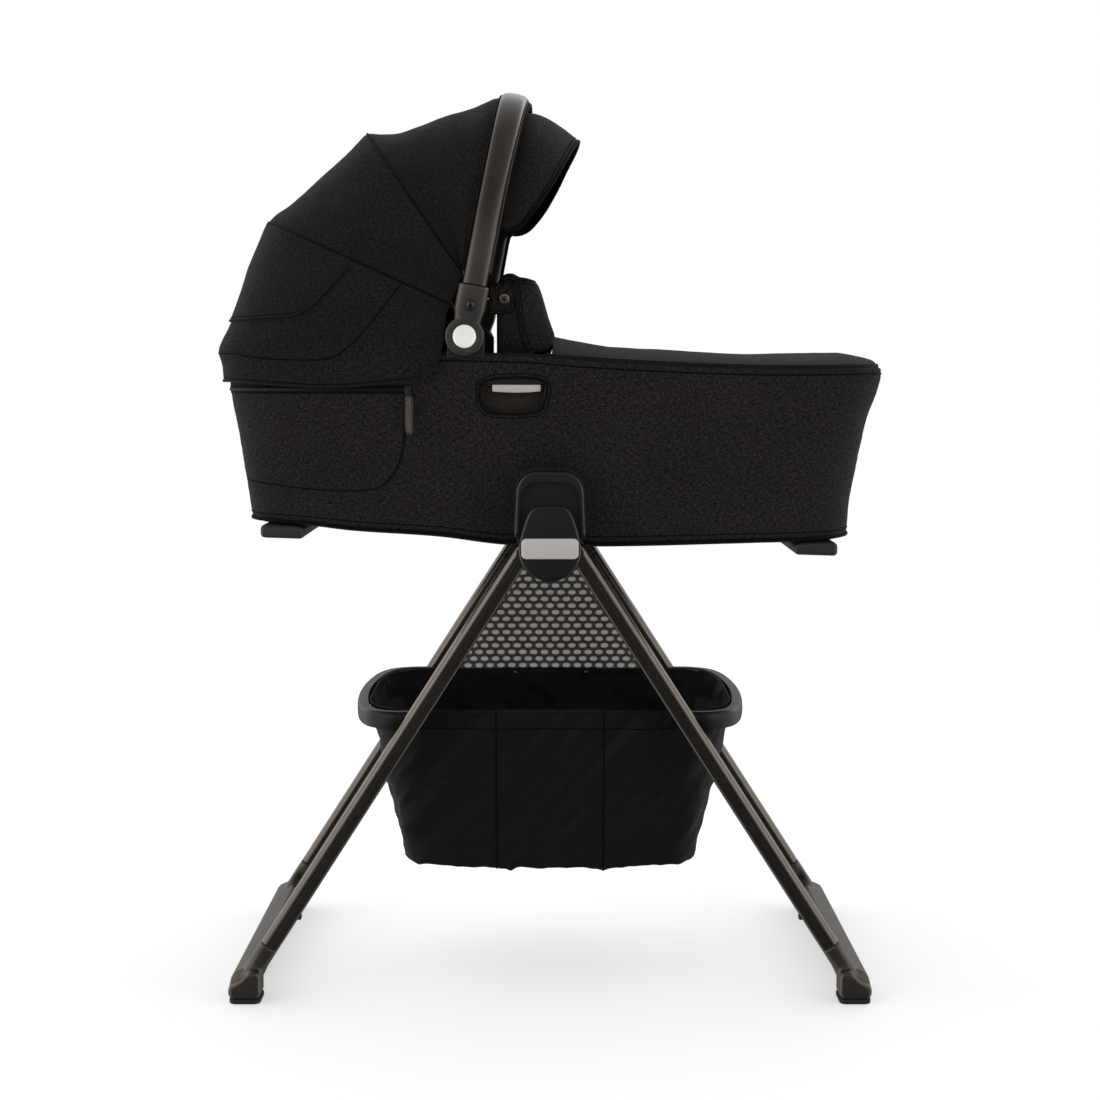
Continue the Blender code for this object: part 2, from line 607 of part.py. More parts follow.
def tube_ring(plan, z_of, r, sides):
    """Closed round tube along a closed plan outline."""
    n = len(plan)
    rings = []
    for i in range(n):
        p0, p1, p2 = (Vector((*plan[(i + k) % n], 0)) for k in (-1, 0, 1))
        t = (p2 - p0).normalized()
        nrm = Vector((t.y, -t.x, 0))
        z = z_of(p1.x)
        rings.append([tuple(p1 + nrm * (r * math.cos(a)) + Vector((0, 0, z + r * math.sin(a))))
                      for a in [2 * math.pi * k / sides for k in range(sides)]])
    return ring_body(rings)


add("rim_frame", *tube_ring(body_plan(0.90, 0.0120, COT_N), lambda x: curve(RIM_Z, x) - 0.0155, 0.0046, 6),
    ANODISED, "bassinet")

# mattress: follows the floor of the liner
matt = []
for inset, dz in ((0.0500, 0.0176), (0.0450, 0.0210), (0.0440, 0.0300), (0.0460, 0.0385), (0.0540, 0.0425)):
    matt.append(body_ring(0.0, inset, 36, dz, 4.0))
add("mattress", *tub(matt), PAD, "bassinet")


def arch_outline(x_low, z_low, x_high, x_top, z_top, z_side):
    """Counter-clockwise arch in X,Z with an open, flat foot."""
    pts = [(-x_low, z_low), (x_low, z_low), (x_high, z_side)]
    for k in range(1, 5):
        a = math.pi / 2 * k / 4
        pts.append((x_top + (x_high - x_top) * math.cos(a), z_side + (z_top - z_side) * math.sin(a)))
    pts.append((-x_top, z_top))
    for k in range(3, 0, -1):
        a = math.pi / 2 * k / 4
        pts.append((-x_top - (x_high - x_top) * math.cos(a), z_side + (z_top - z_side) * math.sin(a)))
    pts.append((-x_high, z_side))
    return pts


def socket(side, s):
    """Arched dock on the cot's side: a slot for the stand's post and a pocket for the hub cap."""
    outline = arch_outline(0.0425, 0.5680, 0.0402, 0.0165, 0.6458, 0.6200)
    verts, faces = slab_y(outline, s * 0.1850, s * 0.2430, edge=0.0020, steps=2)
    # the back leans with the cot's side wall
    slope = (WALL_TOP_Y - WALL_LOW_Y) / (0.7845 - 0.5545)
    verts = [(x, s * (WALL_LOW_Y + (z - 0.5540) * slope + 0.0008), z) if abs(y) < 0.19 else (x, y, z)
             for x, y, z in verts]
    obj = add("dock_socket_" + side, verts, faces, SATIN, "bassinet", 30)
    pocket = arch_outline(0.0385, 0.5600, 0.0352, 0.0150, 0.6335, 0.6120)
    boolean(obj, cutter("pocket_" + side, *slab_y(pocket, s * 0.2325, s * 0.2500)))
    slot = [(-0.0166, 0.5600), (0.0166, 0.5600), (0.0166, 0.6275), (0.0126, 0.6342), (-0.0126, 0.6342),
            (-0.0166, 0.6275)]
    boolean(obj, cutter("slot_" + side, *slab_y(slot, s * 0.2094, s * 0.2232)))


def release(side, s):
    """Frame behind the hand opening and the lever that slides in it."""
    frame = [(-0.0900, 0.7085), (0.0000, 0.7085), (0.0000, 0.7608), (-0.0900, 0.7608)]
    obj = add("release_frame_" + side, *slab_y(frame, s * 0.2010, s * 0.2052), PLASTIC, "bassinet")
    hole = rounded_rect(-0.0450, 0.7352, 0.0385, 0.0212, 0.0060, 2)
    boolean(obj, cutter("finger_hole_" + side, *slab_y(hole, s * 0.1990, s * 0.2100)))
    bar = [(-0.0692, 0.7405), (-0.0550, 0.7394), (-0.0401, 0.7390), (-0.0250, 0.7394), (-0.0110, 0.7405),
           (-0.0110, 0.7488), (-0.0692, 0.7488)]
    lever = add("release_lever_" + side, *slab_y(bar, s * 0.2056, s * 0.2102, edge=0.0008, steps=1), SILVER,
                "lever_" + side)
    stem = cutter("stem_" + side, *box_xyz(-0.0600, -0.0200, s * 0.2016, s * 0.2080, 0.7425, 0.7478))
    boolean(lever, stem, "UNION")


def pivot_base(side, s):
    """Bracket on the rim with the spindle that the handle hub and the canopy ribs turn on."""
    block = [(-0.1225, 0.7878), (-0.0780, 0.7878), (-0.0780, 0.8120)]
    block += [(PIVOT_X + 0.0208 * math.cos(a), PIVOT_Z + 0.0208 * math.sin(a))
              for a in [math.radians(30 + 120 * k / 6) for k in range(7)]]
    block += [(-0.1225, 0.8120)]
    obj = add("pivot_base_" + side, *slab_y(block, s * 0.2135, s * 0.2265), PLASTIC, "bassinet")
    lip = box_xyz(-0.1225, -0.0780, s * 0.2232, s * 0.2265, 0.7805, 0.7900)
    boolean(obj, cutter("lip_" + side, *lip), "UNION")
    spindle = circle(PIVOT_X, PIVOT_Z, 0.0050, 12)
    boolean(obj, cutter("spindle_" + side, *slab_y(spindle, s * 0.2045, s * 0.2325)), "UNION")


for side, s in (("right", -1), ("left", 1)):
    socket(side, s)
    release(side, s)
    pivot_base(side, s)


# apron over the foot half of the cot
def apron():
    x_head = 0.0060
    outer, inner = [], []
    cols = 17
    rows = 11
    xs = [lerp(x_head, 0.4060, (k / (rows - 1)) ** 0.85) for k in range(rows)]
    plan = body_plan(1.0, 0.0025, 720)

    def half_width(x):
        best = 0.0
        for (x0, y0), (x1, y1) in zip(plan, plan[1:] + plan[:1]):
            if (x0 - x) * (x1 - x) <= 0 and x0 != x1:
                best = max(best, abs(y0 + (y1 - y0) * (x - x0) / (x1 - x0)))
        return best

    for x in xs:
        hw = max(half_width(x), 0.02)
        crown = 0.0135 + 0.0085 * max(0.0, 1 - (x - x_head) / 0.07)
        crown *= math.sqrt(min(1.0, (0.4105 - x) / 0.045))
        up, low = [], []
        for k in range(cols):
            q = -1 + 2 * k / (cols - 1)
            y = hw * q
            lift = crown * (1 - abs(q) ** 2.6)
            z = curve(RIM_Z, x) + 0.0012
            up.append((x, y, z + lift + 0.0042))
            low.append((x, y, z + lift * 0.9))
        outer.append(up)
        inner.append(low)
    add("apron", *thin_shell(outer, inner), WEAVE, "bassinet", 60)


apron()


def wind_flap():
    """Padded flap that stands up at the apron's head edge, with a wing along each side."""
    r = 0.030
    path = []
    for x in (-0.0640, -0.0480, -0.0300):
        path.append((x, -0.1960, 0.0, -1.0))
    for k in range(1, 6):
        a = math.radians(90 * k / 5)
        path.append((-0.0300 + r * math.sin(a), -0.1960 + r - r * math.cos(a), math.sin(a), -math.cos(a)))
    path.append((0.0, -0.0800, 1.0, 0.0))
    path.append((0.0, 0.0, 1.0, 0.0))
    path += [(x, -y, nx, -ny) for x, y, nx, ny in reversed(path[:-1])]
    rings = []
    for x, y, nx, ny in path:
        wing = min(max((0.0 - x) / 0.064, 0.0), 1.0)
        top = 0.8680 + 0.0080 * wing
        low = 0.7975 if x > -0.028 else 0.7935
        t = 0.0110
        ring = []
        for q, o in ((0.0, -0.3), (0.0, 0.3), (0.12, 0.5), (0.85, 0.5), (1.0, 0.2), (1.0, -0.2), (0.85, -0.5),
                     (0.12, -0.5)):
            z = lerp(low, top, q)
            lean = 0.0240 * q * max(nx, 0.0)
            ring.append((x + nx * (o * t) - lean, y + ny * (o * t), z))
        rings.append(ring)
    add("wind_flap", *loft(rings), WEAVE, "wind_flap", 60)


wind_flap()


# ----------------------------------------------------------------------------
# Canopy: handle bow, ribs, panels and visor
# ----------------------------------------------------------------------------
AXLE = (PIVOT_X, PIVOT_Z)


def polar(deg, r):
    """Place in X,Z at a distance from the canopy axis, at an angle behind the vertical."""
    a = math.radians(deg)
    return (PIVOT_X - r * math.sin(a), PIVOT_Z + r * math.cos(a))


def beside_handle(back, up):
    """Place in X,Z beside the handle's plane."""
    c, q = math.cos(HANDLE_ANGLE), math.sin(HANDLE_ANGLE)
    return (PIVOT_X - q * up - c * back, PIVOT_Z + c * up - q * back)


def hoop_points(foot, top, below, width, n, count, shrink=0.0):
    """Hoop across the cot in the plane through foot and top. Its full arch would start a distance
    below the foot; it starts at the foot on the right side and ends there on the left."""
    fx, fz = foot
    length = math.hypot(top[0] - fx, top[1] - fz)
    ux, uz = (top[0] - fx) / length, (top[1] - fz) / length
    radius, w = length + below - shrink, width - shrink
    a0 = math.asin((below / radius) ** (n / 2))
    dense = []
    for k in range(601):
        a = a0 + (math.pi - 2 * a0) * k / 600
        c = math.cos(a)
        dense.append((-w * math.copysign(abs(c) ** (2 / n), c), radius * math.sin(a) ** (2 / n), 0))
    return [Vector((fx + ux * (p.y - below), p.x, fz + uz * (p.y - below))) for p in resample(dense, count)]


def sweep(points, fronts, section):
    """Body along a path. fronts gives the forward direction; section(i) gives (outward, forward) pairs."""
    rings = []
    for i, p in enumerate(points):
        t = (points[min(i + 1, len(points) - 1)] - points[max(i - 1, 0)]).normalized()
        f = (fronts[i] - t * fronts[i].dot(t)).normalized()
        out = f.cross(t)
        rings.append([tuple(p + out * o + f * w) for o, w in section(i)])
    return loft(rings)


HANDLE_PTS = 27


def handle_section(i):
    top = 1 - abs(2 * i / (HANDLE_PTS - 1) - 1)   # 0 at the arms' ends, 1 on top
    w = lerp(0.0144, 0.0164, min(1.0, max(0.0, (top - 0.35) / 0.4)))
    t = 0.0092
    return [(-t, -w * 0.72), (-t, w * 0.72), (-t * 0.62, w * 0.97), (t * 0.10, w), (t * 0.62, w * 0.86),
            (t * 0.95, w * 0.45), (t * 1.03, 0.0), (t * 0.95, -w * 0.45), (t * 0.62, -w * 0.86),
            (t * 0.10, -w), (-t * 0.62, -w * 0.97)]


FRONT = Vector((math.cos(HANDLE_ANGLE), 0, math.sin(HANDLE_ANGLE)))
bow = hoop_points(beside_handle(0, 0.0618), beside_handle(0, HANDLE_R), 0.0618, HANDLE_Y, HANDLE_N, HANDLE_PTS)
add("handle_bow", *sweep(bow, [FRONT] * HANDLE_PTS, handle_section), BRONZE, "handle", 30)


def handle_hub(side, s):
    """Round hub on the spindle with the sleeve that holds the bow's end, and the button in it."""
    y0, y1 = s * 0.2278, s * 0.2418
    disc = circle(PIVOT_X, PIVOT_Z, DISC_R, 24)
    obj = add("handle_hub_" + side, *slab_y(disc, y0, y1, edge=0.0014, steps=2), PLASTIC, "handle", 30)
    rings = []
    for r, hw, ya, yb in ((0.0120, 0.0150, 0.2280, 0.2415), (0.0225, 0.0160, 0.2280, 0.2425),
                          (0.0320, 0.0176, 0.2274, 0.2438), (0.0560, 0.0176, 0.2262, 0.2448),
                          (0.0608, 0.0170, 0.2264, 0.2446)):
        ring = []
        for fwd, y in ((-hw, ya + 0.0030), (-hw + 0.0020, ya), (hw - 0.0020, ya), (hw, ya + 0.0030),
                       (hw, yb - 0.0050), (hw - 0.0040, yb - 0.0012), (0.0, yb), (-hw + 0.0040, yb - 0.0012),
                       (-hw, yb - 0.0050)):
            x, z = beside_handle(-fwd, r)
            ring.append((x, s * y, z))
        rings.append(ring)
    boolean(obj, cutter("sleeve_" + side, *loft(rings)), "UNION")
    boolean(obj, cutter("bore_hub_" + side, *slab_y(circle(PIVOT_X, PIVOT_Z, 0.0054, 12), s * 0.2200, s * 0.2350)))
    boolean(obj, cutter("recess_" + side, *slab_y(circle(PIVOT_X, PIVOT_Z, 0.0146, 24), s * 0.2334, s * 0.2500)))
    rim, dish = circle(PIVOT_X, PIVOT_Z, BUTTON_R, 24), circle(PIVOT_X, PIVOT_Z, BUTTON_R - 0.0022, 24)
    rings = [[(x, s * 0.2375, z) for x, z in rim], [(x, s * 0.2428, z) for x, z in rim],
             [(x, s * 0.2438, z) for x, z in circle(PIVOT_X, PIVOT_Z, BUTTON_R - 0.0010, 24)],
             [(x, s * 0.2430, z) for x, z in dish],
             [(x, s * 0.2424, z) for x, z in circle(PIVOT_X, PIVOT_Z, BUTTON_R * 0.45, 24)]]
    add("pivot_button_" + side, *loft(rings), SILVER, "button_" + side, 30)


for side, s in (("right", -1), ("left", 1)):
    handle_hub(side, s)

# top line of the canopy cloth: distance from the axis by angle behind the vertical
CANOPY_R = [(-6.6, 0.3060), (-1.2, 0.2928), (4.6, 0.2845), (12.4, 0.2768), (18.7, 0.2748), (23.7, 0.2812),
            (26.7, 0.2887), (30.0, 0.2842), (36.8, 0.2785), (46.6, 0.2782), (53.1, 0.2825), (60.2, 0.2935),
            (64.0, 0.2918), (70.4, 0.2915), (78.4, 0.2942), (84.9, 0.2985), (90.0, 0.3100)]
MID_FOOT, REAR_FOOT = (-0.1045, 0.8805), (-0.1182, 0.8440)   # where the two ribs meet the handle's back edge
MID_BELOW, REAR_BELOW = 0.0765, 0.0638
CLOTH_T = 0.0025
CLOTH_COLS = 21


def canopy_rib(name, body, foot, deg, below, n, arm_path):
    """Rib: a hoop under the cloth with a flat arm at each end that turns on the spindle. arm_path gives the
    arm's distances from the axis, with its |Y| and half thickness there."""
    layer = arm_path[0][1]
    count = 21
    top = polar(deg, curve(CANOPY_R, deg))
    pts = hoop_points(foot, top, below, CANOPY_Y, n, count, 0.0066)
    length = math.hypot(top[0] - foot[0], top[1] - foot[1])
    plane = Vector(((top[1] - foot[1]) / length, 0, -(top[0] - foot[0]) / length))
    away = Vector((foot[0] - PIVOT_X, 0, foot[1] - PIVOT_Z)).normalized()
    arm = Vector((away.z, 0, -away.x))
    path, fronts, sizes = [], [], []
    for r, y, ho in arm_path:
        path.append(Vector((PIVOT_X, 0, PIVOT_Z)) + away * r + Vector((0, -y, 0)))
        fronts.append(arm)
        sizes.append((ho, 0.0030))
    path += pts
    fronts += [(plane + arm).normalized()] + [plane] * (count - 2) + [(plane + arm).normalized()]
    sizes += [(0.0026, 0.0030)] * count
    for r, y, ho in reversed(arm_path):
        path.append(Vector((PIVOT_X, 0, PIVOT_Z)) + away * r + Vector((0, y, 0)))
        fronts.append(arm)
        sizes.append((ho, 0.0030))
    obj = add(name, *sweep(path, fronts, lambda i: [
        (sizes[i][0] * math.cos(a), sizes[i][1] * math.sin(a)) for a in [math.radians(30 + 60 * k) for k in range(6)]]),
        STEEL, body)
    for side, s in (("right", -1), ("left", 1)):
        eye = slab_y(circle(PIVOT_X, PIVOT_Z, 0.0095, 16), s * (layer - 0.0010), s * (layer + 0.0010))
        boolean(obj, cutter("%s_eye_%s" % (name, side), *eye), "UNION")
        bore = slab_y(circle(PIVOT_X, PIVOT_Z, 0.0054, 12), s * (layer - 0.0040), s * (layer + 0.0040))
        boolean(obj, cutter("%s_bore_%s" % (name, side), *bore))


# the mid rib's arms run inside the rear rib's, so they pass each other as the canopy folds
canopy_rib("canopy_rib_mid", "mid_bow", MID_FOOT, 26.7, MID_BELOW, 2.7,
           ((0.0075, 0.2065, 0.0010), (0.0345, 0.2065, 0.0010), (0.0560, 0.2140, 0.0016)))
canopy_rib("canopy_rib_rear", "rear_bow", REAR_FOOT, 60.2, REAR_BELOW, 3.0,
           ((0.0075, 0.2100, 0.0010), (0.0280, 0.2100, 0.0010), (0.0345, 0.2140, 0.0016)))


def fan_rows(degs, foot0, foot1, below0, below1, n0, n1, shrink):
    rows = []
    for k, deg in enumerate(degs):
        t = k / (len(degs) - 1)
        foot = (lerp(foot0[0], foot1[0], t), lerp(foot0[1], foot1[1], t))
        rows.append([tuple(p) for p in hoop_points(foot, polar(deg, curve(CANOPY_R, deg)), lerp(below0, below1, t),
                                                   CANOPY_Y, lerp(n0, n1, t), CLOTH_COLS, shrink)])
    return rows


def front_rows(shrink):
    rows = fan_rows((-6.6, -1.0, 5.0, 12.0, 18.5, 23.7, 26.4), beside_handle(0.0178, 0.0790), MID_FOOT,
                    0.0790, MID_BELOW, 2.6, 2.7, shrink)
    rows[0] = [tuple(p) for p in hoop_points(beside_handle(0.0178, 0.0790), beside_handle(0.0178, 0.3060), 0.0790,
                                             CANOPY_Y, 2.6, CLOTH_COLS, shrink)]
    return rows


def middle_rows(shrink):
    return fan_rows((27.0, 30.0, 37.0, 46.6, 53.1, 59.9), (-0.1048, 0.8792), (-0.1179, 0.8452), MID_BELOW, REAR_BELOW,
                    2.7, 3.0, shrink)


SKIRT_LOW = [(-0.43, 0.7520), (-0.386, 0.7530), (-0.267, 0.7465), (-0.183, 0.7525), (-0.156, 0.7570),
             (-0.138, 0.7690), (-0.130, 0.7860)]


def rear_rows(shrink):
    """From the rear rib down to the skirt that hangs round the head end."""
    rows = []
    for foot, top, below, width, n in (
            ((-0.1186, 0.8428), polar(60.5, curve(CANOPY_R, 60.5)), 0.0640, 0.2275, 3.0),
            ((-0.1222, 0.8340), polar(66.0, curve(CANOPY_R, 66.0)), 0.0720, 0.2275, 3.1),
            ((-0.1244, 0.8230), polar(74.0, curve(CANOPY_R, 74.0)), 0.0850, 0.2275, 3.3),
            ((-0.1254, 0.8130), polar(82.0, curve(CANOPY_R, 82.0)), 0.1000, 0.2276, 3.6),
            ((-0.1262, 0.8060), polar(87.0, 0.3020), 0.1120, 0.2277, 4.0),
            ((-0.1268, 0.8000), (-0.4135, 0.7970), 0.1250, 0.2279, 4.4),
            ((-0.1280, 0.7930), (-0.4155, 0.7880), 0.1290, 0.2280, 4.5)):
        rows.append([tuple(p) for p in hoop_points(foot, top, below, width, n, CLOTH_COLS, shrink)])
    for end_x, k, width in ((-0.4115, 0.55, 0.2272), (-0.4092, 1.0, 0.2264)):
        pts = hoop_points((-0.1292, 0.0), (end_x, 0.0), 0.1300, width, 4.5, CLOTH_COLS, shrink)
        rows.append([(p.x, p.y, lerp(0.7905, curve(SKIRT_LOW, p.x), k)) for p in pts])
    return rows


add("canopy_front", *thin_shell(front_rows(0.0), front_rows(CLOTH_T)), WEAVE, "mid_bow", 60)
add("canopy_middle", *thin_shell(middle_rows(0.0), middle_rows(CLOTH_T)), WEAVE, "rear_bow", 60)
add("canopy_rear", *thin_shell(rear_rows(0.0), rear_rows(CLOTH_T)), WEAVE, "bassinet", 60)

# visor: (foot, top, arch below the foot)
VISOR = [(beside_handle(-0.0178, 0.1350), beside_handle(-0.0178, 0.2930), 0.1350),
         ((-0.0490, 0.9290), polar(-19.4, 0.2945), 0.1330), ((-0.0350, 0.9285), polar(-24.4, 0.2915), 0.1310),
         ((-0.0225, 0.9350), (0.0376, 1.0555), 0.1300)]
VISOR_COLS = 17


def visor_rows(shrink):
    return [[tuple(p) for p in hoop_points(foot, top, below, 0.2190, 2.6, VISOR_COLS, shrink)]
            for foot, top, below in VISOR]


add("visor_cloth", *thin_shell(visor_rows(0.0), visor_rows(0.0020)), WEAVE, "handle", 60)
foot, top, below = VISOR[-1]
edge = Vector((top[1] - foot[1], 0, -(top[0] - foot[0]))).normalized()
wire = [p + edge * 0.0026 for p in hoop_points(foot, top, below, 0.2190, 2.6, 19, 0.0012)]
add("visor_wire", *sweep(wire, [edge] * 19, lambda i: [
    (0.0015 * math.cos(a), 0.0015 * math.sin(a)) for a in [2 * math.pi * k / 6 for k in range(6)]]), STEEL, "visor")

# ----------------------------------------------------------------------------
# Zip on the right side of the head end
# ----------------------------------------------------------------------------
slider = rounded_rect(-0.1700, 0.7420, 0.0034, 0.0058, 0.0016, 2)
obj = add("zip_slider", *slab_y(slider, -0.2154, -0.2188, edge=0.0006, steps=1), STEEL, "zip_slider")
bail = box_xyz(-0.1716, -0.1684, -0.2176, -0.2198, 0.7368, 0.7400)
boolean(obj, cutter("bail", *bail), "UNION")
pull = [(-0.1732, 0.6965), (-0.1716, 0.6905), (-0.1650, 0.6893), (-0.1640, 0.6915), (-0.1640, 0.7330),
        (-0.1664, 0.7356), (-0.1712, 0.7356), (-0.1732, 0.7330)]
add("zip_pull", *slab_y(pull, -0.2202, -0.2222, edge=0.0005, steps=1), LEATHERETTE, "zip_pull")
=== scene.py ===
"""Looks of a bassinet on its folding stand: the cot's woven cover and fan canopy, its apron and wind flap,
the satin bow, the anodised leg frames with their moulded floor bars, and the fabric basket between them.

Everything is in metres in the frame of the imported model: +X to the foot end, +Y to the left side, +Z up.
"""

import math

import bmesh
import bpy
import numpy as np
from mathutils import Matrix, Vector, noise
from mathutils.bvhtree import BVHTree


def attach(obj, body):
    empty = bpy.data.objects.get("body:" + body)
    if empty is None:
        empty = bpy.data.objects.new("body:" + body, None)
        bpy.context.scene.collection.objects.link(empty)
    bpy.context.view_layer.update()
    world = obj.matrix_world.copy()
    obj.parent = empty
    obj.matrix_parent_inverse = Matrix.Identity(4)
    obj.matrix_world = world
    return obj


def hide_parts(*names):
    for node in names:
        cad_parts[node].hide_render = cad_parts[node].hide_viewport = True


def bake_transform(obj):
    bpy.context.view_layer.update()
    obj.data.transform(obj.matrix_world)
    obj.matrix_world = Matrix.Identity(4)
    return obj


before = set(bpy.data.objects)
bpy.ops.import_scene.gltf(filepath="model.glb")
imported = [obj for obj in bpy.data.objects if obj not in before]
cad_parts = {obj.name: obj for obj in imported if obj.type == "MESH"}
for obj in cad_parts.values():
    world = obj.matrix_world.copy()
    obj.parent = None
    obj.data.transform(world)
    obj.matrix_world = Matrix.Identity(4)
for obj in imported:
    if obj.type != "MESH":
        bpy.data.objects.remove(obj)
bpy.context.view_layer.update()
scene = bpy.context.scene
SIDES = (("right", -1), ("left", 1))
ENDS = (("head", -1), ("foot", 1))

# ----------------------------------------------------------------------------
# Camera
# ----------------------------------------------------------------------------
cam = bpy.data.objects.new("camera", bpy.data.cameras.new("camera"))
cam.location = (0.0, -2.81, 0.766)
cam.rotation_euler = (math.radians(90.0 - 4.75), 0.0, 0.0)
cam.data.sensor_width = 36.0
cam.data.lens = 36.0 * 2165.0 / 1100.0
scene.collection.objects.link(cam)
scene.camera = cam


# ----------------------------------------------------------------------------
# Node materials
# ----------------------------------------------------------------------------
class Shade:
    """A Principled material and short ways to add nodes to it."""

    def __init__(self, name, base, rough, metal=0.0, spec=0.5, sheen=0.0, sheen_rough=0.5, sheen_tint=(1, 1, 1),
                 coat=0.0, coat_rough=0.2, aniso=0.0):
        self.mat = bpy.data.materials.new(name)
        self.mat.use_nodes = True
        self.tree = self.mat.node_tree
        self.bsdf = self.tree.nodes["Principled BSDF"]
        put = self.bsdf.inputs
        put["Base Color"].default_value = (*base, 1)
        put["Roughness"].default_value = rough
        put["Metallic"].default_value = metal
        put["Specular IOR Level"].default_value = spec
        put["Sheen Weight"].default_value = sheen
        put["Sheen Roughness"].default_value = sheen_rough
        put["Sheen Tint"].default_value = (*sheen_tint, 1)
        put["Coat Weight"].default_value = coat
        put["Coat Roughness"].default_value = coat_rough
        put["Anisotropic"].default_value = aniso
        self.mat.diffuse_color = (*base, 1)

    def node(self, kind, ins=None, **props):
        n = self.tree.nodes.new("ShaderNode" + kind)
        for k, v in props.items():
            setattr(n, k, v)
        for k, v in (ins or {}).items():
            self.feed(n.inputs[k], v)
        return n

    def feed(self, socket, value):
        if isinstance(value, bpy.types.NodeSocket):
            self.tree.links.new(value, socket)
        elif isinstance(value, (tuple, list)) and len(value) == 3 and socket.type == "RGBA":
            socket.default_value = (*value, 1)
        else:
            socket.default_value = value

    def math(self, op, a, b=0.0, c=0.0):
        n = self.node("Math", operation=op)
        for i, v in enumerate((a, b, c)):
            self.feed(n.inputs[i], v)
        return n.outputs[0]

    def coords(self, which):
        return self.node("TexCoord").outputs[which]

    def parts(self, vector):
        n = self.node("SeparateXYZ", {0: vector})
        return n.outputs[0], n.outputs[1], n.outputs[2]

    def join(self, x, y, z=0.0):
        return self.node("CombineXYZ", {0: x, 1: y, 2: z}).outputs[0]

    def stretch(self, vector, x, y, z=1.0):
        n = self.node("Mapping", {0: vector}, vector_type="POINT")
        n.inputs["Scale"].default_value = (x, y, z)
        return n.outputs[0]

    def noise(self, vector, scale=1.0, detail=2.0, rough=0.5):
        return self.node("TexNoise", {"Vector": vector, "Scale": scale, "Detail": detail, "Roughness": rough}).outputs[0]

    def ramp(self, value, lo, hi, a=0.0, b=1.0):
        n = self.node("MapRange", {0: value, 1: lo, 2: hi, 3: a, 4: b})
        n.clamp = True
        return n.outputs[0]

    def mix(self, factor, a, b):
        n = self.node("Mix", data_type="RGBA")
        self.feed(n.inputs[0], factor)
        self.feed(n.inputs[6], a)
        self.feed(n.inputs[7], b)
        return n.outputs[2]

    def colour(self, value):
        self.feed(self.bsdf.inputs["Base Color"], value)

    def rough(self, value):
        self.feed(self.bsdf.inputs["Roughness"], value)

    def bump(self, height, strength, distance):
        n = self.node("Bump", {"Height": height, "Strength": strength, "Distance": distance})
        self.feed(self.bsdf.inputs["Normal"], n.outputs[0])


def mul(colour, k):
    return tuple(c * k for c in colour)


def woven(name, dark, light, pitch=0.0008, slub=0.0015, long=0.0052, bump=0.35, sheen=0.03, rough=0.92, tint=(1, 0.96, 0.92),
          spread=(0.45, 0.64), spec=0.10):
    """Melange weave on metric UVs: two crossed sets of uneven threads, light and dark fibres, and a slight fuzz."""
    s = Shade(name, mul(tuple((a + b) / 2 for a, b in zip(dark, light)), 1), rough, spec=spec, sheen=sheen,
              sheen_rough=0.45, sheen_tint=tint)
    uv = s.coords("UV")
    u, v, _ = s.parts(uv)
    warp = s.noise(s.stretch(uv, 1 / slub, 1 / long), 1.0, 2.0, 0.6)
    weft = s.noise(s.stretch(uv, 1 / long, 1 / slub), 1.0, 2.0, 0.6)
    fine = s.noise(s.stretch(uv, 1 / 0.0009, 1 / 0.0009), 1.0, 1.0, 0.5)
    mixed = s.math("ADD", s.math("MULTIPLY", s.math("MAXIMUM", warp, weft), 0.62), s.math("MULTIPLY", fine, 0.38))
    fleck = s.ramp(mixed, *spread)
    broad = s.noise(s.stretch(uv, 9, 9), 1.0, 2.0, 0.5)
    tone = s.mix(fleck, dark, light)
    shade = s.ramp(broad, 0.25, 0.75, 0.86, 1.14)
    grey = s.join(shade, shade, shade)
    vm = s.node("VectorMath", {0: tone, 1: grey}, operation="MULTIPLY")
    s.colour(vm.outputs[0])
    k = 2 * math.pi / pitch
    over = s.math("MULTIPLY", s.math("SINE", s.math("MULTIPLY", u, k)), s.math("SINE", s.math("MULTIPLY", v, k)))
    height = s.math("ADD", s.math("MULTIPLY", over, 0.35), s.math("MULTIPLY", mixed, 1.6))
    s.bump(height, bump, 0.0003)
    s.rough(s.ramp(fleck, 0, 1, rough, rough - 0.12))
    return s.mat


def grained(name, base, rough, metal=0.0, spec=0.5, grain=0.00045, bump=0.12, vary=0.10, coat=0.0, wear=0.0,
            coords="Object", coat_rough=0.25):
    """Moulded or coated surface: fine spark texture, uneven gloss and faintly rubbed edges."""
    s = Shade(name, base, rough, metal, spec=spec, coat=coat, coat_rough=coat_rough)
    co = s.coords(coords)
    g = s.noise(co, 1 / grain, 2.0, 0.5)
    broad = s.noise(co, 22.0, 3.0, 0.55)
    tone = s.mix(s.ramp(broad, 0.3, 0.7), mul(base, 1 - vary), mul(base, 1 + vary))
    if wear:
        edge = s.node("NewGeometry").outputs["Pointiness"]
        rub = s.math("MULTIPLY", s.ramp(edge, 0.505, 0.56), s.ramp(s.noise(co, 160.0, 3.0, 0.6), 0.42, 0.62))
        tone = s.mix(s.math("MULTIPLY", rub, wear), tone, mul(base, 2.4))
    s.colour(tone)
    s.rough(s.math("ADD", s.ramp(g, 0.2, 0.8, rough - 0.04, rough + 0.05), s.ramp(broad, 0.2, 0.8, -0.03, 0.03)))
    s.bump(g, bump, 0.0001)
    return s.mat


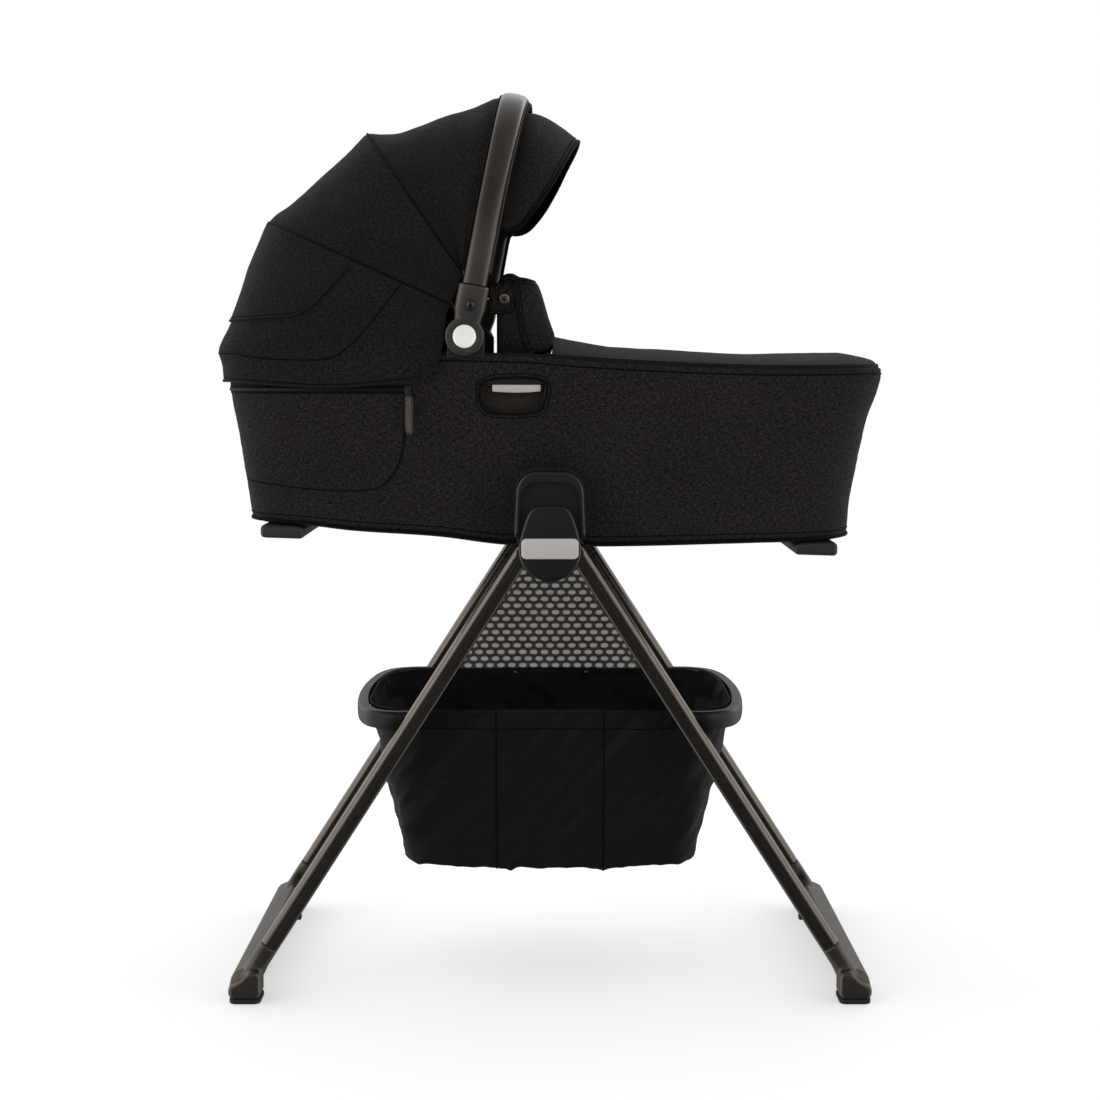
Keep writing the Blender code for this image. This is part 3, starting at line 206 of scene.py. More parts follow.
def brushed(name, base, rough, stretch=(6, 400, 400), metal=1.0, bump=0.05):
    """Metal with fine parallel lines."""
    s = Shade(name, base, rough, metal)
    co = s.stretch(s.coords("Object"), *stretch)
    lines = s.noise(co, 3.0, 3.0, 0.6)
    s.colour(s.mix(lines, mul(base, 0.86), mul(base, 1.10)))
    s.rough(s.ramp(lines, 0.25, 0.75, rough - 0.06, rough + 0.08))
    s.bump(lines, bump, 0.0001)
    return s.mat


CHARCOAL_DARK, CHARCOAL_LIGHT = (0.0016, 0.0014, 0.0013), (0.0320, 0.0280, 0.0258)
M_WEAVE = woven("charcoal_weave", CHARCOAL_DARK, CHARCOAL_LIGHT)
# painted shade: the hood's panels and vent flap get a darker copy of the charcoal weave, to offset the extra light that
# falls on their upward-facing cloth
M_WEAVE_HOOD_PAINTED_SHADE = woven("charcoal_weave_hood_painted_shade", (0.0014, 0.0013, 0.0012), (0.0242, 0.0212, 0.0194))
M_WEAVE_INNER = woven("hood_lining", (0.0016, 0.0014, 0.0013), (0.0052, 0.0046, 0.0042), sheen=0.02)
M_BIND = woven("black_binding", (0.0010, 0.0009, 0.0009), (0.0038, 0.0034, 0.0032), pitch=0.0007, sheen=0.02, bump=0.5)
M_PIPING = woven("piping", (0.0030, 0.0026, 0.0024), (0.0170, 0.0150, 0.0135), pitch=0.0007, sheen=0.06)
M_WELT = woven("welt_edge", (0.030, 0.027, 0.023), (0.085, 0.077, 0.067), pitch=0.0006, sheen=0.1)
M_THIN = woven("basket_cloth", (0.0012, 0.0010, 0.0010), (0.0062, 0.0054, 0.0049), pitch=0.0005, slub=0.0011, long=0.006,
               bump=0.25, sheen=0.02, rough=0.68, spec=0.16)
M_TAPE = woven("zip_tape", (0.0012, 0.0011, 0.0010), (0.0050, 0.0045, 0.0042), pitch=0.0009, bump=0.6, sheen=0.02)
M_LINING = woven("cot_lining", (0.0060, 0.0056, 0.0053), (0.022, 0.0205, 0.0190), pitch=0.0011, slub=0.0014, long=0.004,
                 bump=0.3, sheen=0.1)
M_MATTRESS = woven("mattress_knit", (0.40, 0.39, 0.37), (0.62, 0.61, 0.59), pitch=0.0012, slub=0.0016, long=0.005, bump=0.4,
                   sheen=0.35, tint=(1, 1, 1))
M_LEG = grained("anodised_leg", (0.124, 0.110, 0.095), 0.20, metal=0.97, grain=0.0003, bump=0.003, vary=0.01)
M_BOW = grained("satin_bow", (0.078, 0.068, 0.059), 0.32, metal=0.95, grain=0.00035, bump=0.10, vary=0.06)
M_BAR = grained("floor_bar", (0.090, 0.0785, 0.067), 0.40, metal=0.95, grain=0.0004, bump=0.10, vary=0.07, wear=0.3)
M_PLASTIC = grained("black_plastic", (0.0060, 0.0055, 0.0050), 0.42, grain=0.0005, bump=0.16)
M_RING = grained("ring_plastic", (0.0235, 0.0206, 0.0178), 0.38, metal=0.92, grain=0.0005, bump=0.12, wear=0.2)
M_SATIN = grained("satin_plastic", (0.0078, 0.0069, 0.0061), 0.30, spec=0.50, grain=0.0006, bump=0.05)
M_HUB = grained("bow_hub", (0.074, 0.0650, 0.0562), 0.34, metal=0.7, grain=0.0005, bump=0.10)
M_SKID = grained("skid_plastic", (0.020, 0.0175, 0.0150), 0.42, grain=0.0005, bump=0.10)
M_RUBBER = grained("rubber", (0.0070, 0.0066, 0.0063), 0.78, grain=0.0007, bump=0.3)
M_GLOSS = grained("gloss_black", (0.0035, 0.0033, 0.0031), 0.12, grain=0.002, bump=0.0, coat=0.6, coat_rough=0.05)
M_SILVER = brushed("silver_plate", (0.70, 0.67, 0.63), 0.36, stretch=(40, 260, 260), metal=0.5)
M_BUTTON = brushed("silver_button", (0.96, 0.955, 0.94), 0.34, stretch=(14, 14, 14), metal=0.1)
M_STEEL = brushed("steel", (0.36, 0.345, 0.32), 0.30, stretch=(200, 200, 200))
M_GUN = brushed("gunmetal", (0.030, 0.028, 0.026), 0.30, stretch=(200, 200, 200), metal=0.6)
M_SNAP = brushed("snap_metal", (0.30, 0.255, 0.19), 0.22, stretch=(200, 200, 200))
M_THREAD = woven("seam_thread", (0.0008, 0.0007, 0.0007), (0.0022, 0.0020, 0.0018), pitch=0.0005, sheen=0.0)
M_LEATHER = grained("leatherette_pull", (0.060, 0.050, 0.041), 0.50, grain=0.0009, bump=0.45, vary=0.15)


# ----------------------------------------------------------------------------
# Geometry tools
# ----------------------------------------------------------------------------
def curve(table, x):
    """Smooth values through a table of (x, value), for one number or an array."""
    t = np.array(table, float)
    xs, ys = t[:, 0], t[:, 1]
    m = np.empty(len(xs))
    m[1:-1] = (ys[2:] - ys[:-2]) / (xs[2:] - xs[:-2])
    m[0] = (ys[1] - ys[0]) / (xs[1] - xs[0])
    m[-1] = (ys[-1] - ys[-2]) / (xs[-1] - xs[-2])
    q = np.clip(np.asarray(x, float), xs[0], xs[-1])
    i = np.clip(np.searchsorted(xs, q, side="right") - 1, 0, len(xs) - 2)
    h = xs[i + 1] - xs[i]
    f = (q - xs[i]) / h
    return ((2 * f ** 3 - 3 * f ** 2 + 1) * ys[i] + (f ** 3 - 2 * f ** 2 + f) * h * m[i]
            + (-2 * f ** 3 + 3 * f ** 2) * ys[i + 1] + (f ** 3 - f ** 2) * h * m[i + 1])


def lerp(a, b, t):
    return a + (b - a) * t


def smoothstep(a, b, x):
    t = np.clip((np.asarray(x, float) - a) / (b - a), 0, 1)
    return t * t * (3 - 2 * t)


def resample(points, count, closed=False):
    """Points at even steps along a polyline."""
    p = np.asarray(points, float)
    if closed:
        p = np.vstack([p, p[:1]])
    s = np.concatenate([[0], np.cumsum(np.linalg.norm(np.diff(p, axis=0), axis=1))])
    at = np.linspace(0, s[-1], count + 1)[:-1] if closed else np.linspace(0, s[-1], count)
    return np.stack([np.interp(at, s, p[:, k]) for k in range(p.shape[1])], axis=1)


def smooth_path(points, count, closed=False):
    """Points at even steps along a smooth curve through the given ones."""
    p = np.asarray(points, float)
    if closed:
        p = np.vstack([p[-2:], p, p[:3]])
    s = np.concatenate([[0], np.cumsum(np.linalg.norm(np.diff(p, axis=0), axis=1))])
    lo, hi = (s[2], s[-3]) if closed else (s[0], s[-1])
    at = np.linspace(lo, hi, 40 * count + 1)
    dense = np.stack([curve(np.stack([s, p[:, k]], axis=1), at) for k in range(p.shape[1])], axis=1)
    return resample(dense[:-1] if closed else dense, count, closed)


def superoval(hu, hv, n, count):
    a = 2 * np.pi * np.arange(count) / count
    c, s = np.cos(a), np.sin(a)
    return np.stack([hu * np.sign(c) * np.abs(c) ** (2 / n), hv * np.sign(s) * np.abs(s) ** (2 / n)], axis=1)


def offset_outline(outline, d):
    """Counter-clockwise 2D outline moved outwards by d."""
    p = np.asarray(outline, float)
    a = p - np.roll(p, 1, axis=0)
    b = np.roll(p, -1, axis=0) - p
    a /= np.maximum(np.linalg.norm(a, axis=1, keepdims=True), 1e-12)
    b /= np.maximum(np.linalg.norm(b, axis=1, keepdims=True), 1e-12)
    na, nb = np.stack([a[:, 1], -a[:, 0]], 1), np.stack([b[:, 1], -b[:, 0]], 1)
    m = na + nb
    m /= np.maximum(np.linalg.norm(m, axis=1, keepdims=True), 1e-9)
    return p + m * (d / np.maximum((m * na).sum(1), 0.5))[:, None]


def rounded_rect(cx, cy, hx, hy, r, steps=8):
    pts = []
    for qx, qy, a0 in ((1, 1, 0), (-1, 1, 90), (-1, -1, 180), (1, -1, 270)):
        for k in range(steps + 1):
            a = math.radians(a0 + 90 * k / steps)
            pts.append((cx + qx * (hx - r) + r * math.cos(a), cy + qy * (hy - r) + r * math.sin(a)))
    return pts


def circle(cx, cy, r, n=48):
    return [(cx + r * math.cos(2 * math.pi * k / n), cy + r * math.sin(2 * math.pi * k / n)) for k in range(n)]


def round_corners(outline, r, steps=6):
    """Outline with each corner replaced by an arc-like curve that starts r before it."""
    p = [np.array(q, float) for q in outline]
    out = []
    for i in range(len(p)):
        a, b, c = p[i - 1], p[i], p[(i + 1) % len(p)]
        ra = min(r, 0.45 * np.linalg.norm(a - b))
        rc = min(r, 0.45 * np.linalg.norm(c - b))
        p0 = b + (a - b) / np.linalg.norm(a - b) * ra
        p1 = b + (c - b) / np.linalg.norm(c - b) * rc
        for k in range(steps + 1):
            t = k / steps
            out.append(tuple((1 - t) ** 2 * p0 + 2 * t * (1 - t) * b + t * t * p1))
    return out


def make(name, verts, faces, mat, uv=None, sharp=35.0, fix=True):
    """Mesh object, smooth except at sharp edges."""
    me = bpy.data.meshes.new(name)
    me.from_pydata(np.asarray(verts, float).tolist(), [], [list(map(int, f)) for f in faces])
    me.update()
    if uv is not None:
        layer = me.uv_layers.new(name="UVMap")
        idx = np.zeros(len(me.loops), np.int32)
        me.loops.foreach_get("vertex_index", idx)
        layer.data.foreach_set("uv", np.asarray(uv, np.float32)[idx].ravel())
    if fix:
        bm = bmesh.new()
        bm.from_mesh(me)
        bmesh.ops.recalc_face_normals(bm, faces=bm.faces)
        bm.to_mesh(me)
        bm.free()
    me.materials.append(mat)
    me.shade_smooth()
    me.set_sharp_from_angle(angle=math.radians(sharp))
    o = bpy.data.objects.new(name, me)
    scene.collection.objects.link(o)
    return o


def ride(o, body, replaces=()):
    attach(o, body)
    if replaces:
        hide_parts(*([replaces] if isinstance(replaces, str) else replaces))
    return o


def grid_faces(rows, cols, closed_rows=False, closed_cols=False, start=0, flip=False):
    r = np.arange(rows if closed_rows else rows - 1)
    c = np.arange(cols if closed_cols else cols - 1)
    i, k = np.meshgrid(r, c, indexing="ij")
    a = i * cols + k
    b = i * cols + (k + 1) % cols
    d = ((i + 1) % rows) * cols + k
    e = ((i + 1) % rows) * cols + (k + 1) % cols
    f = np.stack([a, b, e, d] if not flip else [d, e, b, a], axis=-1).reshape(-1, 4) + start
    return f


def normals_of(P, closed_cols=False):
    """Unit normals of a grid of points, from its rows and columns."""
    if closed_cols:
        du = np.roll(P, -1, axis=1) - np.roll(P, 1, axis=1)
    else:
        du = np.gradient(P, axis=1)
    dv = np.gradient(P, axis=0)
    n = np.cross(du, dv)
    return n / np.maximum(np.linalg.norm(n, axis=2, keepdims=True), 1e-12)


def metric_uv(P, closed_cols=False):
    """UVs in metres: along each row from its middle, and down the columns."""
    du = np.linalg.norm(np.diff(P, axis=1), axis=2)
    u = np.concatenate([np.zeros((len(P), 1)), np.cumsum(du, axis=1)], axis=1)
    u -= u[:, u.shape[1] // 2][:, None]
    dv = np.linalg.norm(np.diff(P, axis=0), axis=2).mean(axis=1)
    v = np.concatenate([[0], np.cumsum(dv)])[:, None] + np.zeros((1, P.shape[1]))
    return np.stack([u, v], axis=2)


def cloth(name, P, mat, t=0.0018, out=1.0, closed_cols=False, sharp=55.0, edge=0.0):
    """Closed sheet: the grid P is its outer face. out is 1 where the grid's normals point outwards, else -1."""
    P = np.asarray(P, float)
    R, C = P.shape[:2]
    n = normals_of(P, closed_cols) * out
    inner = P - n * t
    uv = metric_uv(P, closed_cols).reshape(-1, 2)
    verts = np.concatenate([P.reshape(-1, 3), inner.reshape(-1, 3)])
    off = R * C
    faces = [grid_faces(R, C, closed_cols=closed_cols), grid_faces(R, C, closed_cols=closed_cols, start=off, flip=True)]
    k = np.arange(C if closed_cols else C - 1)
    for row, flip in ((0, False), (R - 1, True)):
        a, b = row * C + k, row * C + (k + 1) % C
        f = np.stack([b, a, a + off, b + off], axis=1)
        faces.append(f[:, ::-1] if flip else f)
    if not closed_cols:
        i = np.arange(R - 1)
        for col, flip in ((0, False), (C - 1, True)):
            a, d = i * C + col, (i + 1) * C + col
            f = np.stack([a, d, d + off, a + off], axis=1)
            faces.append(f[:, ::-1] if flip else f)
    return make(name, verts, np.concatenate(faces), mat, np.concatenate([uv, uv]), sharp)


def face_inside(o, mat):
    """Gives the inner face of a closed sheet its own material."""
    half = len(o.data.vertices) // 2
    o.data.materials.append(mat)
    for p in o.data.polygons:
        if min(p.vertices) >= half:
            p.material_index = 1


def tube_points(pts, radius, sides=10, closed=False, squash=1.0, up=None):
    """Ring points round a path. radius is a number or one per point; squash flattens the section towards up."""
    p = np.asarray(pts, float)
    n = len(p)
    if closed:
        t = np.roll(p, -1, axis=0) - np.roll(p, 1, axis=0)
    else:
        t = np.gradient(p, axis=0)
    t /= np.maximum(np.linalg.norm(t, axis=1, keepdims=True), 1e-12)
    r = np.zeros(n) + radius
    a = 2 * np.pi * np.arange(sides) / sides
    rings = []
    nrm = None
    for i in range(n):
        if up is not None:
            ref = np.asarray(up[i] if np.ndim(up) == 2 else up, float)
        else:
            ref = nrm if nrm is not None else (np.array([0, 0, 1.0]) if abs(t[i][2]) < 0.8 else np.array([1.0, 0, 0]))
        nrm = ref - t[i] * ref.dot(t[i])
        nrm /= max(np.linalg.norm(nrm), 1e-12)
        b = np.cross(t[i], nrm)
        rings.append(p[i] + r[i] * (np.cos(a)[:, None] * nrm * squash + np.sin(a)[:, None] * b))
    return np.array(rings)


def tube(name, pts, radius, mat, sides=10, closed=False, squash=1.0, up=None, sharp=60.0):
    rings = tube_points(pts, radius, sides, closed, squash, up)
    R = len(rings)
    verts = rings.reshape(-1, 3)
    faces = [list(f) for f in grid_faces(R, sides, closed_rows=closed, closed_cols=True)]
    if not closed:
        faces.append(list(range(sides))[::-1])
        faces.append(list(range((R - 1) * sides, R * sides)))
    s = np.concatenate([[0], np.cumsum(np.linalg.norm(np.diff(rings.mean(axis=1), axis=0), axis=1))])
    u = np.tile(np.arange(sides) / sides * 2 * np.pi * float(np.mean(radius)), R)
    return make(name, verts, faces, mat, np.stack([u, np.repeat(s, sides)], axis=1), sharp)


def loft(name, rings, mat, sharp=35.0, caps=True):
    """Closed body through rings of equal point counts."""
    rings = np.asarray(rings, float)
    R, C = rings.shape[:2]
    faces = [list(f) for f in grid_faces(R, C, closed_cols=True)]
    if caps:
        faces.append(list(range(C))[::-1])
        faces.append(list(range((R - 1) * C, R * C)))
    uv = metric_uv(rings).reshape(-1, 2)
    return make(name, rings.reshape(-1, 3), faces, mat, uv, sharp)


def slab_y(name, outline, y0, y1, mat, edge=0.0, edge0=0.0, steps=5, sharp=35.0):
    """Outline in X,Z pushed from y0 to y1; edge rounds the y1 side and edge0 the y0 side."""
    sign = 1 if y1 > y0 else -1
    p = np.asarray(outline, float)
    area = (p[:, 0] * np.roll(p[:, 1], -1) - np.roll(p[:, 0], -1) * p[:, 1]).sum()
    if area < 0:
        p = p[::-1]
    rings = []

    def ring(inset, y):
        q = offset_outline(p, -inset) if inset else p
        rings.append(np.stack([q[:, 0], np.full(len(q), y), q[:, 1]], axis=1))

    if edge0:
        for k in range(steps + 1):
            a = math.pi / 2 * k / steps
            ring(edge0 * (1 - math.sin(a)), y0 + sign * edge0 * (1 - math.cos(a)))
    else:
        ring(0, y0)
    if edge:
        for k in range(steps, -1, -1):
            a = math.pi / 2 * k / steps
            ring(edge * (1 - math.sin(a)), y1 - sign * edge * (1 - math.cos(a)))
    else:
        ring(0, y1)
    return loft(name, rings, mat, sharp)


def slab_z(name, outline, z0, z1, mat, edge=0.0, edge0=0.0, steps=5, sharp=35.0):
    o = slab_y(name, [(x, y) for x, y in outline], z0, z1, mat, edge, edge0, steps, sharp)
    for v in o.data.vertices:
        v.co = (v.co.x, v.co.z, v.co.y)
    o.data.flip_normals()
    return o


def carve(o, tool, operation="DIFFERENCE"):
    """Applies a Boolean and removes the tool."""
    mod = o.modifiers.new("b", "BOOLEAN")
    mod.operation, mod.solver, mod.object = operation, "EXACT", tool
    mod.use_self = False
    dg = bpy.context.evaluated_depsgraph_get()
    me = bpy.data.meshes.new_from_object(o.evaluated_get(dg), preserve_all_data_layers=True, depsgraph=dg)
    o.modifiers.clear()
    old = o.data
    o.data = me
    bpy.data.meshes.remove(old)
    bpy.data.objects.remove(tool)
    me.shade_smooth()
    me.set_sharp_from_angle(angle=math.radians(35))
    return o


def bake(o, sharp=None):
    """Applies the modifiers of an object."""
    dg = bpy.context.evaluated_depsgraph_get()
    me = bpy.data.meshes.new_from_object(o.evaluated_get(dg), preserve_all_data_layers=True, depsgraph=dg)
    o.modifiers.clear()
    old = o.data
    o.data = me
    bpy.data.meshes.remove(old)
    me.shade_smooth()
    if sharp:
        me.set_sharp_from_angle(angle=math.radians(sharp))
    return o


def bevel(o, width, segments=3, angle=35.0):
    m = o.modifiers.new("bevel", "BEVEL")
    m.width, m.segments, m.limit_method, m.angle_limit = width, segments, "ANGLE", math.radians(angle)
    m.harden_normals = False
    return o


def fuzz(P, amount, size, seed=0.0, detail=2):
    """Smooth random values for points, about -amount to amount."""
    flat = np.asarray(P, float).reshape(-1, 3)
    out = np.array([noise.fractal(Vector(p) / size + Vector((seed, seed * 1.7, 0)), 1.0, 2.0, detail,
                                  noise_basis="PERLIN_ORIGINAL") for p in flat])
    return out.reshape(np.asarray(P).shape[:-1]) * amount


def tree_of(*objects):
    verts, polys = [], []
    for o in objects:
        off = len(verts)
        verts += [v.co.copy() for v in o.data.vertices]
        polys += [[i + off for i in p.vertices] for p in o.data.polygons]
    return BVHTree.FromPolygons(verts, polys)


def onto_side(tree, xz, s, lift=0.0, far=0.40):
    """Points of a side view dropped on a surface from the side s; returns points and normals."""
    pts, nrm = [], []
    for x, z in xz:
        hit, n, _, _ = tree.ray_cast(Vector((x, s * far, z)), Vector((0, -s, 0)))
        if hit is None:
            hit, n = Vector((x, s * 0.22, z)), Vector((0, s, 0))
        if n.y * s < 0:
            n = -n
        pts.append(hit + n * lift)
        nrm.append(n)
    return np.array(pts), np.array(nrm)


# ----------------------------------------------------------------------------
# Driving dimensions, in metres
# ----------------------------------------------------------------------------
LEG_ANGLE = math.radians(32.7)
LEG_PIVOT_X, LEG_PIVOT_Z, LEG_Y, LEG_LENGTH = 0.0332, 0.548, 0.220, 0.5704
BAR_OUT, BAR_IN, BAR_END_Y, PAD_TOP = 0.3905, 0.3470, 0.2435, 0.0065
RING = [(0.1605, 0.2082), (0.1760, 0.2082), (0.1940, 0.2066), (0.2105, 0.1985), (0.2235, 0.1850),
        (0.2315, 0.1670), (0.2380, 0.1430), (0.2430, 0.1020), (0.2468, 0.0500), (0.2480, 0.0)]
RING_W, RING_Z0, RING_Z1 = 0.0140, 0.3300, 0.3520
HUB_Z, HUB_R, CAP_Y0, CAP_Y1, PLATE_Y1 = 0.552, 0.0370, 0.2335, 0.2490, 0.2515
PIVOT_X, PIVOT_Z = -0.1011, 0.8058
HANDLE_ANGLE = math.radians(-10.8)
HANDLE_R, HANDLE_Y, HANDLE_N = 0.3045, 0.2345, 2.6
CANOPY_Y, DISC_R, BUTTON_R = 0.2275, 0.0230, 0.0138
WALL_TOP_Y, WALL_LOW_Y, BODY_N, SHELL_T, LINER_IN = 0.2220, 0.1860, 4.5, 0.0040, 0.0185
SKID_Z, SKID_SLOPE = 0.5501, -0.0320
RIM_Z = [(-0.44, 0.7830), (-0.20, 0.7860), (-0.036, 0.7845), (0.04, 0.7785), (0.167, 0.7715), (0.28, 0.7685),
         (0.44, 0.7705)]
BASE_Z = [(-0.42, 0.5792), (-0.30, 0.5759), (-0.24, 0.5700), (-0.137, 0.5635), (-0.056, 0.5535), (0.0, 0.5533),
          (0.067, 0.5512), (0.25, 0.5550), (0.35, 0.5560), (0.42, 0.5600)]
HEAD_X = [(0.0, -0.3765), (0.25, -0.3835), (0.5, -0.3910), (0.8, -0.4010), (1.0, -0.4035)]
FOOT_X = [(0.0, 0.3757), (0.3, 0.3817), (0.7, 0.3995), (0.85, 0.4105), (0.95, 0.4155), (1.0, 0.4125)]


# ----------------------------------------------------------------------------
# Stand: leg frames
# ----------------------------------------------------------------------------
def leg_point(e, t, u):
    """Point at distance t down a leg and u across it, positive up and outwards."""
    d = (e * math.sin(LEG_ANGLE), -math.cos(LEG_ANGLE))
    n = (e * math.cos(LEG_ANGLE), math.sin(LEG_ANGLE))
    return (e * LEG_PIVOT_X + d[0] * t + n[0] * u, LEG_PIVOT_Z + d[1] * t + n[1] * u)


def leg_ring(e, y, t, profile):
    u, v = np.asarray(profile, float).T
    x, z = leg_point(e, t, u)
    return np.stack([x, y + v, z], axis=1)


def leg_profile():
    """Rounded nose, a fine groove behind it, a flat face and a softly broken inner edge."""
    half = [(0.0024 + 0.0091 * math.cos(a) ** 0.9, 0.0107 * math.sin(a) ** 0.9)
            for a in np.linspace(0, math.pi / 2, 14)]
    half += [(0.0023, 0.0099), (0.0020, 0.0094), (0.0014, 0.0094), (0.0011, 0.0099), (0.0008, 0.0104), (0.0003, 0.0105)]
    half += [(-0.0002, 0.0105), (-0.0035, 0.0105), (-0.0071, 0.0105), (-0.0076, 0.0105)]
    half += [(-0.0078 - 0.0037 * math.sin(a), 0.0068 + 0.0037 * math.cos(a)) for a in np.linspace(0.12, math.pi / 2, 8)]
    half += [(-0.0115, 0.0034)]
    return half + [(u, -v) for u, v in reversed(half[1:])]


def leg(end, side, e, s):
    profile = np.array(leg_profile())
    rings = []
    for t in -0.0113 * np.sin(np.linspace(math.pi / 2, 0, 9)):
        k = math.sqrt(max(1 - (t / 0.0115) ** 2, 0.0))
        rings.append(leg_ring(e, s * LEG_Y, t, profile * [k, 1]))
    rings += [leg_ring(e, s * LEG_Y, t, profile) for t in np.linspace(0.02, LEG_LENGTH, 24)]
    o = loft("leg_tube_%s_%s" % (end, side), rings, M_LEG, 24)
    ride(o, end + "_legs", "leg_%s_%s" % (end, side))
    # end collar where the tube meets its moulding
    collar = offset_outline(profile[:, ::-1], 0.0009)[:, ::-1]
    c = loft("leg_collar_%s_%s" % (end, side),
             [leg_ring(e, s * LEG_Y, t, q) for t, q in ((LEG_LENGTH - 0.0052, profile), (LEG_LENGTH - 0.0046, collar),
                                                        (LEG_LENGTH - 0.0006, collar), (LEG_LENGTH, profile))], M_PLASTIC, 24)
    ride(c, end + "_legs")


def floor_bar(end, e):
    """Cross bar on the floor, moulded in one with the two boots that take the legs."""
    inner = BAR_IN + 0.0037
    sect = [(inner, 0.0120), (inner + 0.0030, 0.0069), (BAR_OUT - 0.0030, 0.0069), (BAR_OUT, 0.0120),
            (BAR_OUT, 0.0200), (BAR_OUT - 0.0020, 0.0290), (BAR_OUT - 0.0060, 0.0355),
            (BAR_OUT - 0.0140, 0.0392), (inner + 0.0100, 0.0440), (inner + 0.0030, 0.0420), (inner, 0.0350)]
    end_sect = [(inner, 0.0120), (inner + 0.0030, 0.0069), (BAR_OUT - 0.0030, 0.0069), (BAR_OUT, 0.0120),
                (BAR_OUT, 0.0170), (BAR_OUT - 0.0012, 0.0215), (BAR_OUT - 0.0060, 0.0235),
                (BAR_OUT - 0.0140, 0.0285), (inner + 0.0140, 0.0400), (inner + 0.0030, 0.0400), (inner, 0.0340)]
    slim = [(max(x, inner + 0.0090) if x < inner + 0.0090 else x, z) for x, z in sect]
    mid = np.array([(BAR_OUT + BAR_IN) / 2, 0.0200])
    rings = []
    for y, k, shape in ((-BAR_END_Y, 0.84, end_sect), (-BAR_END_Y + 0.0014, 0.95, end_sect),
                        (-BAR_END_Y + 0.0045, 1.0, end_sect), (-BAR_END_Y + 0.0120, 1.0, end_sect),
                        (-BAR_END_Y + 0.0180, 1.0, sect), (-BAR_END_Y + 0.0340, 1.0, sect), (-BAR_END_Y + 0.0480, 1.0, slim),
                        (BAR_END_Y - 0.0480, 1.0, slim), (BAR_END_Y - 0.0340, 1.0, sect), (BAR_END_Y - 0.0180, 1.0, sect),
                        (BAR_END_Y - 0.0120, 1.0, end_sect), (BAR_END_Y - 0.0045, 1.0, end_sect),
                        (BAR_END_Y - 0.0014, 0.95, end_sect), (BAR_END_Y, 0.84, end_sect)):
        q = mid + (np.array(shape) - mid) * k
        q[:, 1] = np.where(np.array(shape)[:, 1] > 0.01, q[:, 1], 0.0069)
        q = resample(q, 64, closed=True)
        rings.append(np.stack([e * q[:, 0], np.full(64, y), q[:, 1]], axis=1))
    bar = loft("bar_" + end, rings, M_BAR)
    flow = ((LEG_LENGTH + 0.0003, 0.0116, 0.0108, 0.0108), (0.5800, 0.0117, 0.0109, 0.0118),
            (0.5900, 0.0118, 0.0113, 0.0165), (0.5990, 0.0119, 0.0120, 0.0270), (0.6060, 0.0120, 0.0135, 0.0430),
            (0.6120, 0.0122, 0.0155, 0.0640), (0.6170, 0.0120, 0.0165, 0.0860), (0.6230, 0.0110, 0.0150, 0.0870))
    f = np.array(flow)
    ts = np.linspace(f[0, 0], f[-1, 0], 26)
    necks = []
    for side, s in SIDES:
        neck = []
        for t in ts:
            hu, out, reach = (float(curve(np.stack([f[:, 0], f[:, k]], 1), t)) for k in (1, 2, 3))
            v = superoval(hu, (out + reach) / 2, 3.4, 64)
            v[:, 1] += s * (out - reach) / 2
            neck.append(leg_ring(e, s * LEG_Y, t, v))
        necks.append(loft("neck", neck, M_BAR))
    for n in necks:
        carve(bar, n, "UNION")
    m = bar.modifiers.new("r", "REMESH")
    m.mode, m.voxel_size = "VOXEL", 0.0015
    m = bar.modifiers.new("s", "SMOOTH")
    m.factor, m.iterations = 0.5, 7
    bake(bar)
    for v in bar.data.vertices:
        v.co.z = max(v.co.z, 0.0069)
    bar.data.materials.clear()
    bar.data.materials.append(M_BAR)
    bar.name = "floor_bar_moulding_" + end
    ride(bar, end + "_legs", "floor_bar_" + end)
    for side, s in SIDES:
        pad = rounded_rect(e * ((BAR_OUT + BAR_IN) / 2 + 0.0014), s * 0.2200, 0.0191, 0.0228, 0.0085, 8)
        o = slab_z("foot_rubber_%s_%s" % (end, side), pad, 0.0, PAD_TOP, M_RUBBER, edge=0.0008, edge0=0.0022)
        ride(o, end + "_legs", "foot_pad_%s_%s" % (end, side))
        # the stop that the bar rests its end on when the stand is folded
        x, z = leg_point(e, 0.5225, -0.0118)
        stub = slab_y("leg_bumper_%s_%s" % (end, side),
                      round_corners([(x - 0.0030, z - 0.0018), (x + 0.0030, z - 0.0018), (x + 0.0030, z + 0.0030),
                                     (x - 0.0030, z + 0.0030)], 0.0012), s * 0.2140, s * 0.2260, M_RUBBER, 0.001, 0.001)
        ride(stub, end + "_legs")


